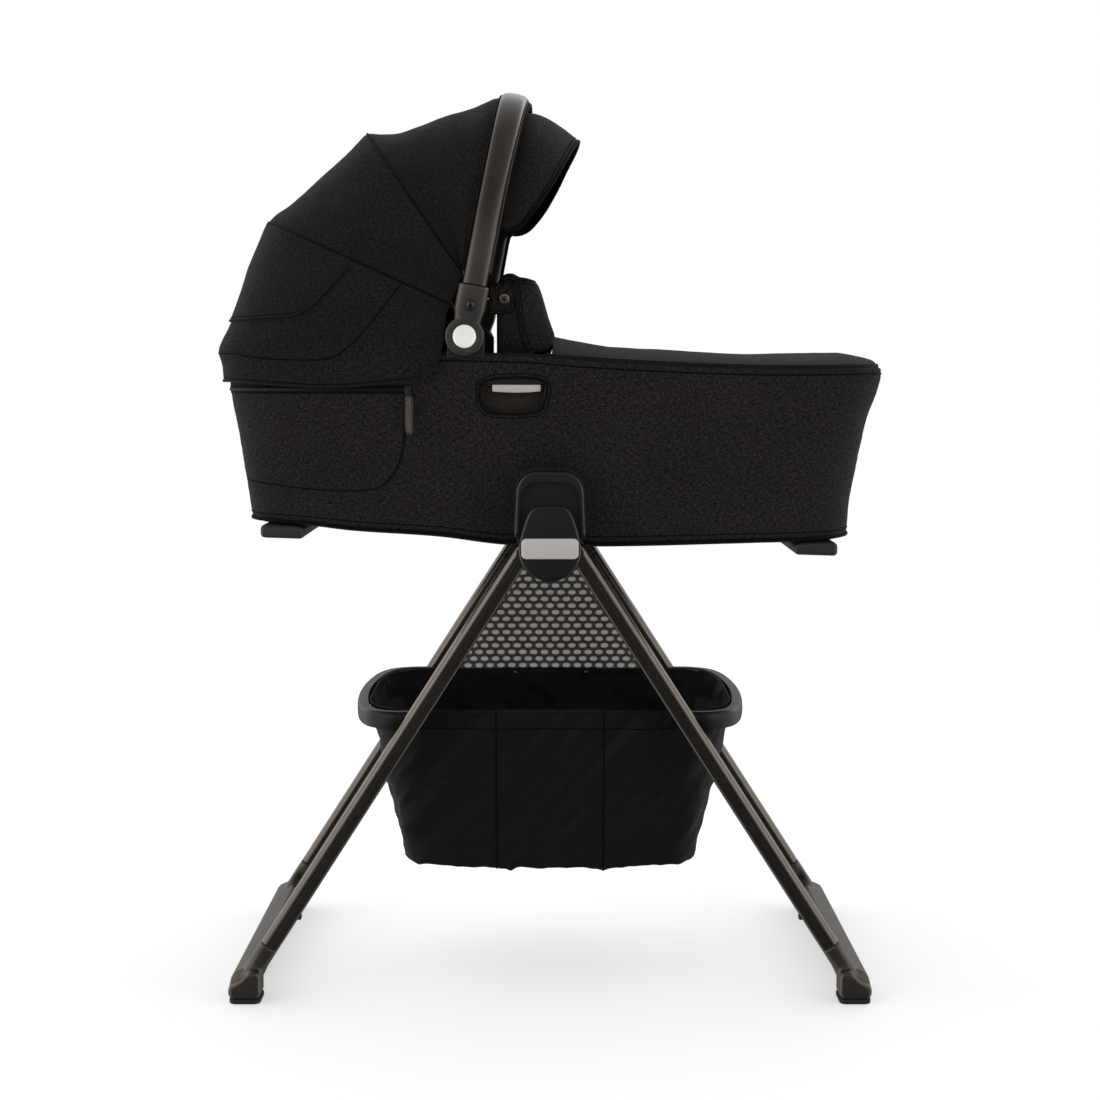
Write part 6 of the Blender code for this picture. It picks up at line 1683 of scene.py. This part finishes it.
def bag_points():
    """Rings of the bag from its floor up to its hem, starting at the middle of the foot end."""
    t = np.array(BAG)
    zs = np.concatenate([np.linspace(0.1560, 0.1700, 12)[:-1], np.linspace(0.1700, 0.3513, 64)])
    C = 600
    rings = []
    for k in (0.15, 0.35, 0.55, 0.72, 0.86, 0.95, 0.985):
        p = resample(superoval(0.1800 * k, 0.1665 * k, 8.0, 2880), C, closed=True)
        rings.append(np.stack([p[:, 0], p[:, 1], np.full(C, 0.1552)], axis=1))
    floor_rows = len(rings)
    for z in zs:
        hx, hy = float(curve(t[:, [0, 1]], z)), float(curve(t[:, [0, 2]], z))
        p = resample(superoval(hx, hy, float(lerp(8.0, 5.0, smoothstep(0.20, 0.34, z))), 2880), C, closed=True)
        rings.append(np.stack([p[:, 0], p[:, 1], np.full(C, z)], axis=1))
    P = np.array(rings)
    n = normals_of(P, True)
    if ((P - P.mean(axis=(0, 1))) * n).sum() < 0:
        n = -n
    z = P[..., 2]
    wall = smoothstep(0.157, 0.200, z) * (1 - smoothstep(0.338, 0.3505, z))
    hem = smoothstep(0.336, 0.342, z) * (1 - smoothstep(0.3485, 0.3513, z) * 0.6)
    tilt = P + np.stack([P[..., 2] * 0.8 * np.sign(P[..., 1]), P[..., 2] * 0.0, -P[..., 0] * 0.35], axis=-1)
    crease = fuzz(tilt * [1.0, 1.0, 0.30], 1.0, 0.045, 51.0) * 0.0052 + fuzz(tilt * [1.0, 1.0, 0.6], 1.0, 0.018, 53.0) * 0.0018
    gather = fuzz(P * [1.0, 1.0, 0.12], 1.0, 0.012, 55.0) * 0.0016
    low = smoothstep(0.20, 0.165, z) * smoothstep(0.156, 0.160, z)
    d = wall * crease + hem * gather + low * fuzz(P, 1.0, 0.02, 57.0) * 0.0016
    # the side walls hang in a little between hem and floor
    span = np.sin(np.pi * np.clip((z - 0.158) / 0.19, 0, 1))
    d = d - 0.0022 * span
    P = P + n * d[..., None]
    # the floor's edge sags between its corners, with a few puckers where seams end
    x = P[..., 0]
    sag = 0.0052 * (1 - np.clip(np.abs(x) / 0.178, 0, 1) ** 2.2) + fuzz(np.stack([x, P[..., 1] * 0.3, x * 0], axis=-1), 1.0, 0.022, 61.0) * 0.0020
    for at, wide, deep in ((-0.0485, 0.0045, 0.0030), (0.0660, 0.0050, 0.0022), (-0.1650, 0.0050, 0.0020), (0.1600, 0.0060, 0.0018)):
        sag = sag + deep * np.exp(-((x - at) / wide) ** 2)
    P[..., 2] -= sag * smoothstep(0.215, 0.157, z)
    floor = z < 0.1556
    P[..., 2] += np.where(floor, fuzz(P * [1, 1, 0], 1.0, 0.05, 59.0) * 0.0016 - 0.0004, 0)
    return P, floor_rows


BAG_P, BAG_FLOOR = bag_points()
SPLIT = 0.066


def bag_pieces():
    """The bag in three cuts, sewn at two seams: the middle, which hangs from the hub, and the two ends."""
    C = BAG_P.shape[1]
    # every ring is cut where it crosses the seams, so the three cuts share those points
    right, foot, left, head = [], [], [], []
    for ring in BAG_P:
        closed = np.vstack([ring, ring[:1]])

        def cut(xs, x):
            """Point indices with fractions where the ring crosses x, in order round it."""
            d = xs - x
            i = np.nonzero(d[:-1] * d[1:] < 0)[0]
            return [(k + d[k] / (d[k] - d[k + 1])) for k in i]

        hits_f, hits_h = cut(closed[:, 0], SPLIT), cut(closed[:, 0], -SPLIT)
        if len(hits_f) < 2 or len(hits_h) < 2:
            continue
        f0, f1 = hits_f[0], hits_f[-1]
        h0, h1 = hits_h[0], hits_h[-1]
        idx = np.arange(C + 1)

        def take(a, b, count):
            at = np.linspace(a, b, count)
            wrapped = np.mod(at, C)
            return np.stack([np.interp(wrapped, idx, closed[:, k]) for k in range(3)], axis=1)

        foot.append(take(f1 - C, f0, 221))
        left.append(take(f0, h0, 111))
        head.append(take(h0, h1, 221))
        right.append(take(h1, f1, 111))
    # inside the smallest ring the floor goes on to the seams and to the middle
    for piece, e in ((foot, 1), (head, -1), (left, 0), (right, 0)):
        first = piece[0]
        if e:
            along = np.linspace(first[0, 1], first[-1, 1], len(first)) * 0.9
            last = np.stack([np.full(len(first), e * SPLIT), along, first[:, 2]], axis=1)
        else:
            last = first * [1, 0, 1]
        piece[:0] = [first * (1 - f) + last * f for f in np.linspace(1, 0, 11)[:-1]]
    return [np.array(q) for q in (foot, left, head, right)]


def outwards(P):
    n = normals_of(P)
    c = np.array([0, 0, 0.26])
    return 1.0 if ((P - c) * n).sum() > 0 else -1.0


def meshed(name, dark, light, pitch):
    """Knitted mesh: light knots in even rows on a dark ground."""
    m = Shade(name, light, 0.8, spec=0.2)
    u, v, _ = m.parts(m.coords("UV"))
    k = 2 * math.pi / pitch
    knots = m.math("MULTIPLY", m.math("SINE", m.math("MULTIPLY", u, k)), m.math("SINE", m.math("MULTIPLY", v, k)))
    f = m.ramp(m.math("ABSOLUTE", knots, 0.0), 0.25, 0.75)
    m.colour(m.mix(f, dark, light))
    m.bump(f, 0.6, 0.0004)
    return m.mat


M_MESH = meshed("end_mesh", (0.0020, 0.0018, 0.0016), (0.055, 0.049, 0.043), 0.0042)
foot_P, left_P, head_P, right_P = bag_pieces()
for name, P, e in (("basket_bag_foot", foot_P, 1), ("basket_bag_head", head_P, -1)):
    o = cloth(name, P, M_THIN, 0.0010, out=outwards(P))
    # open mesh panel in the end wall
    o.data.materials.append(M_MESH)
    for poly in o.data.polygons:
        c = poly.center
        if 0.176 < c.z < 0.318 and abs(c.x) > 0.165 and abs(c.y) < 0.152:
            poly.material_index = 1
    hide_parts("basket_bag")
    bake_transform(o)
    co = np.array([v.co for v in o.data.vertices])
    high = smoothstep(0.16, 0.34, co[:, 2])
    reach = lerp(0.200, 0.148, high)
    w = np.clip((np.abs(co[:, 0]) - SPLIT) / (reach - SPLIT), 0, 1)
    w = w * w * (3 - 2 * w) * lerp(0.76, 1.0, high)
for name, P in (("basket_bag_left", left_P), ("basket_bag_right", right_P)):
    o = cloth(name, P, M_THIN, 0.0010, out=outwards(P))
    ride(o, "stand_hub", "basket_bag")

# hem stitching carried round the ends; its weights from the seams are worked out but not stored
for tag, P, e in (("foot", foot_P, 1), ("head", head_P, -1)):
    i = int(np.argmin(np.abs(P[:, 110, 2] - 0.3285)))
    n = normals_of(P) * outwards(P)
    line = tube("basket_hem_" + tag, P[i] + n[i] * 0.0001, 0.0007, M_THREAD, 8)
    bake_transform(line)
    co = np.array([v.co for v in line.data.vertices])
    w = np.clip((np.abs(co[:, 0]) - SPLIT) / (0.150 - SPLIT), 0, 1)
# two snaps on the far side's hem
for k, x in enumerate((-0.0480, 0.0500)):
    y = float(np.interp(x, left_P[-4][:, 0][::int(np.sign(left_P[-4][-1, 0] - left_P[-4][0, 0]))],
                        left_P[-4][:, 1][::int(np.sign(left_P[-4][-1, 0] - left_P[-4][0, 0]))]))
    o = slab_y("hem_snap_%d" % (k + 1), circle(x, 0.3455, 0.0022, 28), y - 0.0004, y - 0.0022, M_SNAP, 0.0006, steps=4)
    ride(o, "stand_hub")
# floor board of the bag, seams, and the hem's two stitch lines
board = resample(superoval(0.1600, 0.1560, 5.0, 720), 200, closed=True)
o = slab_z("basket_board", [(x, y) for x, y in board if abs(x) < 9], 0.1574, 0.1590, M_THIN, 0.0006, 0.0006)
for v in o.data.vertices:
    v.co.x = math.copysign(min(abs(v.co.x), 0.0655), v.co.x)
ride(o, "stand_hub")
for s_name, P in (("right", right_P), ("left", left_P)):
    for tag, col in (("a", 0), ("b", -1)):
        ride(tube("basket_seam_%s_%s" % (s_name, tag), P[:, col], 0.0010, M_THREAD, 8), "stand_hub")
    n = normals_of(P) * outwards(P)
    z = P[:, 55, 2]
    for tag, zz in (("low", 0.3285), ("top", 0.3500)):
        i = int(np.argmin(np.abs(z - zz)))
        r = 0.0007 if tag == "low" else 0.0012
        ride(tube("basket_hem_%s_%s" % (s_name, tag), P[i] + n[i] * 0.0001, r, M_THREAD if tag == "low" else M_PIPING, 8),
             "stand_hub")


# ---- net between the left legs --------------------------------------------------
def net_half(name, e):
    """Half of the net: open oval meshes in staggered rows, with a finer veil across each."""
    y = 0.2052
    du, dv = 0.0153, 0.0094
    z0, z1 = 0.3485, 0.5170
    rows = int(round((z1 - z0) / dv))
    dv = (z1 - z0) / rows
    K = 16
    verts, faces, veil_v, veil_f, uv = [], [], [], [], []

    def edge_x(z):
        return LEG_PIVOT_X + (LEG_PIVOT_Z - z) * math.tan(LEG_ANGLE) - 0.0100

    for r in range(rows):
        za, zb = z0 + r * dv, z0 + (r + 1) * dv
        zm = (za + zb) / 2
        limit = edge_x(zm)
        x = -du / 2 if r % 2 else 0.0
        while x < limit - 0.002:
            xa, xb = max(x, 0.0), min(x + du, limit)
            if xb - xa < 0.0035:
                x += du
                continue
            if limit - xb < 0.0035:
                xb = limit
            cx = (xa + xb) / 2
            hx, hz = (xb - xa) / 2 * 0.69, dv / 2 * 0.66
            outer, inner = [], []
            if x < 0:
                # half a mesh: its other half belongs to the other side's net
                h = K // 2
                for k in range(h + 1):
                    a = math.pi * (k / h - 0.5)
                    c, q = max(math.cos(a), 0.0), math.sin(a)
                    m = max(c, abs(q))
                    outer.append((xb * c / m, zm + dv / 2 * q / m))
                    inner.append((du / 2 * 0.69 * abs(c) ** 0.8, zm + hz * math.copysign(abs(q) ** 0.9, q)))
                H = h + 1
                b = len(verts)
                for side_y in (y - 0.0005, y + 0.0005):
                    for px, pz in outer + inner:
                        verts.append((e * px, side_y + 0.0016 * math.sin(px * 31) * math.sin(pz * 23), pz))
                        uv.append((px, pz))
                for k in range(h):
                    faces.append((b + k, b + k + 1, b + H + k + 1, b + H + k))
                    faces.append((b + 2 * H + k + 1, b + 2 * H + k, b + 3 * H + k, b + 3 * H + k + 1))
                    faces.append((b + H + k, b + H + k + 1, b + 3 * H + k + 1, b + 3 * H + k))
                    faces.append((b + k + 1, b + k, b + 2 * H + k, b + 2 * H + k + 1))
                faces.append((b, b + H, b + 3 * H, b + 2 * H))
                faces.append((b + h, b + 2 * H + h, b + 3 * H + h, b + H + h))
                b = len(veil_v)
                for side_y in (y - 0.0002, y + 0.0002):
                    for px, pz in inner:
                        veil_v.append((e * px * 1.04, side_y, zm + (pz - zm) * 1.04))
                veil_f.append(list(range(b, b + H)))
                veil_f.append(list(range(b + 2 * H - 1, b + H - 1, -1)))
                for k in range(h):
                    veil_f.append([b + k + 1, b + k, b + H + k, b + H + k + 1])
                veil_f.append([b, b + h, b + H + h, b + H])
                x += du
                continue
            for k in range(K):
                a = 2 * math.pi * k / K
                c, q = math.cos(a), math.sin(a)
                m = max(abs(c), abs(q))
                outer.append((cx + (xb - xa) / 2 * c / m, zm + dv / 2 * q / m))
                inner.append((cx + hx * math.copysign(abs(c) ** 0.8, c), zm + hz * math.copysign(abs(q) ** 0.9, q)))
            b = len(verts)
            for side_y in (y - 0.0005, y + 0.0005):
                for px, pz in outer + inner:
                    verts.append((e * px, side_y + 0.0016 * math.sin(px * 31) * math.sin(pz * 23), pz))
                    uv.append((px, pz))
            for k in range(K):
                k2 = (k + 1) % K
                faces.append((b + k, b + k2, b + K + k2, b + K + k))
                faces.append((b + 2 * K + k2, b + 2 * K + k, b + 3 * K + k, b + 3 * K + k2))
                faces.append((b + K + k, b + K + k2, b + 3 * K + k2, b + 3 * K + k))
                faces.append((b + k2, b + k, b + 2 * K + k, b + 2 * K + k2))
            b = len(veil_v)
            yy = 0.0016 * math.sin(cx * 31) * math.sin(zm * 23)
            for side_y in (y - 0.0002, y + 0.0002):
                for px, pz in inner:
                    veil_v.append((e * (cx + (px - cx) * 1.04), side_y + yy, zm + (pz - zm) * 1.04))
            veil_f.append(list(range(b, b + K)))
            veil_f.append(list(range(b + 2 * K - 1, b + K - 1, -1)))
            for k in range(K):
                k2 = (k + 1) % K
                veil_f.append([b + k2, b + k, b + K + k, b + K + k2])
            x += du
    base = len(verts)
    veil_f = [[i + base for i in f] for f in veil_f]
    uv += [(abs(q[0]), q[2]) for q in veil_v]
    o = make(name, verts + veil_v, faces + veil_f, M_NET, np.array(uv), 60)
    o.data.materials.append(M_VEIL_PAINTED_LIGHT)
    index = np.zeros(len(o.data.polygons), np.int32)
    index[len(faces):] = 1
    o.data.polygons.foreach_set("material_index", index)
    return o


M_NET = woven("net_threads", (0.050, 0.045, 0.039), (0.150, 0.136, 0.120), pitch=0.0005, slub=0.0008, long=0.003, sheen=0.1)
# painted light: the veil's pale colour, on top of its part see-through alpha, stands in for the bright backdrop glowing
# through the fine mesh
M_VEIL_PAINTED_LIGHT = woven("net_veil_painted_light", (0.34, 0.315, 0.285), (0.56, 0.525, 0.485), pitch=0.0005, slub=0.0008, long=0.003, sheen=0.2)
for n in M_VEIL_PAINTED_LIGHT.node_tree.nodes:
    if n.type == "BSDF_PRINCIPLED":
        n.inputs["Alpha"].default_value = 0.68
for end, e in ENDS:
    net = net_half("basket_net_%s" % end, e)
    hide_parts("basket_net")
    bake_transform(net)
    co = np.array([v.co for v in net.data.vertices])
    edge_x = LEG_PIVOT_X + (LEG_PIVOT_Z - co[:, 2]) * math.tan(LEG_ANGLE)
    w = np.clip(np.abs(co[:, 0]) / edge_x, 0, 1)
for end, e in ENDS:
    line = [leg_point(e, t, -0.0112) for t in np.linspace(0.0355, 0.2280, 60)]
    line = np.array([(x, 0.2052, z) for x, z in line])
    ride(tube("net_edge_%s" % end, line, 0.0013, M_BIND, 8), end + "_legs")


# ----------------------------------------------------------------------------
# Zip slider and its pull
# ----------------------------------------------------------------------------
sl = slab_y("zip_slider_body", resample(rounded_rect(-0.1700, 0.7420, 0.0034, 0.0058, 0.0022, 8), 60, closed=True), -0.2154,
            -0.2188, M_GUN, 0.0011, 0.0003, steps=6)
ride(sl, "zip_slider", "zip_slider")
bail = tube("zip_slider_bail", smooth_path([(-0.1700, -0.2182, 0.7452), (-0.1700, -0.2196, 0.7442), (-0.1700, -0.2199, 0.7415),
                                            (-0.1700, -0.2197, 0.7385), (-0.1700, -0.2184, 0.7372)], 24), 0.0006, M_GUN, 10)
ride(bail, "zip_slider")
pull = round_corners([(-0.1732, 0.6965), (-0.1716, 0.6905), (-0.1650, 0.6893), (-0.1640, 0.6915), (-0.1640, 0.7330),
                      (-0.1664, 0.7356), (-0.1712, 0.7356), (-0.1732, 0.7330)][::-1], 0.0022, 5)
if (np.array(pull)[:, 0] * np.roll(np.array(pull)[:, 1], -1) - np.roll(np.array(pull)[:, 0], -1) * np.array(pull)[:, 1]).sum() < 0:
    pull = pull[::-1]
pl = slab_y("zip_pull_tab", resample(pull, 160, closed=True), -0.2202, -0.2222, M_LEATHER, 0.0007, 0.0007, steps=5)
ride(pl, "zip_pull", "zip_pull")
edge_line = np.array(offset_outline(resample(pull, 160, closed=True), -0.0011))
ride(tube("zip_pull_stitch", np.stack([edge_line[:, 0], np.full(160, -0.2223), edge_line[:, 1]], 1), 0.00022, M_THREAD, 6,
          closed=True), "zip_pull")
rv = slab_y("zip_pull_rivet", circle(-0.1685, 0.7262, 0.0014, 28), -0.2218, -0.2230, M_SNAP, 0.0006, steps=4)
ride(rv, "zip_pull")
ringlet = tube("zip_pull_ring", [(-0.1690 + 0.0016 * math.cos(a), -0.2200, 0.7362 + 0.0024 * math.sin(a))
                                 for a in np.linspace(0, 2 * math.pi, 29)[:-1]], 0.0005, M_GUN, 8, closed=True)
ride(ringlet, "zip_pull")

# ----------------------------------------------------------------------------
# Carried-over CAD nodes
# ----------------------------------------------------------------------------
FINISH = {"leg_pin": M_STEEL, "bracket_screw": M_STEEL, "canopy_rib": M_PLASTIC, "base_tray": M_PLASTIC, "rim_frame": M_LEG}
for node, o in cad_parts.items():
    for key, mat in FINISH.items():
        if node.startswith(key):
            o.data.materials.clear()
            o.data.materials.append(mat)

# ----------------------------------------------------------------------------
# Floor and light
# ----------------------------------------------------------------------------
floor = bpy.data.objects.new("floor", bpy.data.meshes.new("floor"))
bm = bmesh.new()
bmesh.ops.create_circle(bm, cap_ends=True, segments=128, radius=3.7)
bm.to_mesh(floor.data)
bm.free()
fl = Shade("floor_pale", (0.80, 0.80, 0.80), 0.9, spec=0.0)
fl.bsdf.inputs["Emission Color"].default_value = (1, 1, 1, 1)
fl.bsdf.inputs["Emission Strength"].default_value = 0.47
fl.colour(fl.mix(fl.ramp(fl.noise(fl.coords("Object"), 3.0, 2.0, 0.5), 0.3, 0.7), (0.790, 0.790, 0.790), (0.810, 0.810, 0.810)))
floor.data.materials.append(fl.mat)
floor.visible_glossy = False
scene.collection.objects.link(floor)

world = bpy.data.worlds.new("studio")
scene.world = world
world.use_nodes = True
nt = world.node_tree
nt.nodes.clear()
out = nt.nodes.new("ShaderNodeOutputWorld")
pick = nt.nodes.new("ShaderNodeMixShader")
path = nt.nodes.new("ShaderNodeLightPath")
seen = nt.nodes.new("ShaderNodeBackground")
seen.inputs[0].default_value, seen.inputs[1].default_value = (1, 1, 1, 1), 1.0
lit = nt.nodes.new("ShaderNodeBackground")
co = nt.nodes.new("ShaderNodeTexCoord")
sep = nt.nodes.new("ShaderNodeSeparateXYZ")
nt.links.new(co.outputs["Generated"], sep.inputs[0])


def sky(channel, low, high, at_low, at_high):
    """Light that grows along one direction of the room."""
    n = nt.nodes.new("ShaderNodeMapRange")
    for k, v in ((1, low), (2, high), (3, at_low), (4, at_high)):
        n.inputs[k].default_value = v
    nt.links.new(sep.outputs[channel], n.inputs[0])
    return n.outputs[0]


def add(a, b, operation="ADD"):
    n = nt.nodes.new("ShaderNodeMath")
    n.operation = operation
    nt.links.new(a, n.inputs[0])
    nt.links.new(b, n.inputs[1])
    return n.outputs[0]


# bright at the sides and behind, softer above, dim towards the front and below
across = sky(0, -1.0, 1.0, -1.38, 1.28)
behind = add(add(sky(1, 0.05, 0.85, 0.0, 1.15), sky(2, -0.02, 0.14, 0.12, 1.0), "MULTIPLY"), sky(1, 0.84, 0.985, 1.0, 0.22), "MULTIPLY")
ahead = add(add(sky(1, 0.0, -0.9, 0.0, 0.75), sky(2, 0.0, 0.27, 0.03, 1.0), "MULTIPLY"), sky(2, 0.30, 0.64, 1.0, 0.0), "MULTIPLY")
total = add(add(sky(2, -0.05, 0.90, 0.05, 0.14), add(behind, ahead)), add(across, across, "MULTIPLY"))
nt.links.new(total, lit.inputs[1])
nt.links.new(path.outputs["Is Camera Ray"], pick.inputs[0])
nt.links.new(lit.outputs[0], pick.inputs[1])
nt.links.new(seen.outputs[0], pick.inputs[2])
nt.links.new(pick.outputs[0], out.inputs[0])


def softbox(name, place, aim, size, power, colour=(1, 1, 1)):
    d = bpy.data.lights.new(name, "AREA")
    d.shape, d.size, d.size_y, d.energy, d.color = "RECTANGLE", size[0], size[1], power, colour
    o = bpy.data.objects.new(name, d)
    o.location = place
    o.rotation_euler = (Vector(aim) - Vector(place)).to_track_quat("-Z", "Y").to_euler()
    scene.collection.objects.link(o)


softbox("top", (-0.3, -0.5, 3.3), (0, 0, 0.7), (3.2, 2.4), 5)
softbox("left_front", (-3.0, -3.2, 1.9), (0, 0, 0.7), (1.6, 2.2), 14)
softbox("right_front", (3.2, -2.8, 1.6), (0, 0, 0.6), (1.6, 2.2), 10)
softbox("rear", (0.5, 3.2, 2.4), (0, 0, 0.9), (3.0, 1.2), 10)
scene.view_settings.view_transform = "Standard"
scene.view_settings.look = "None"
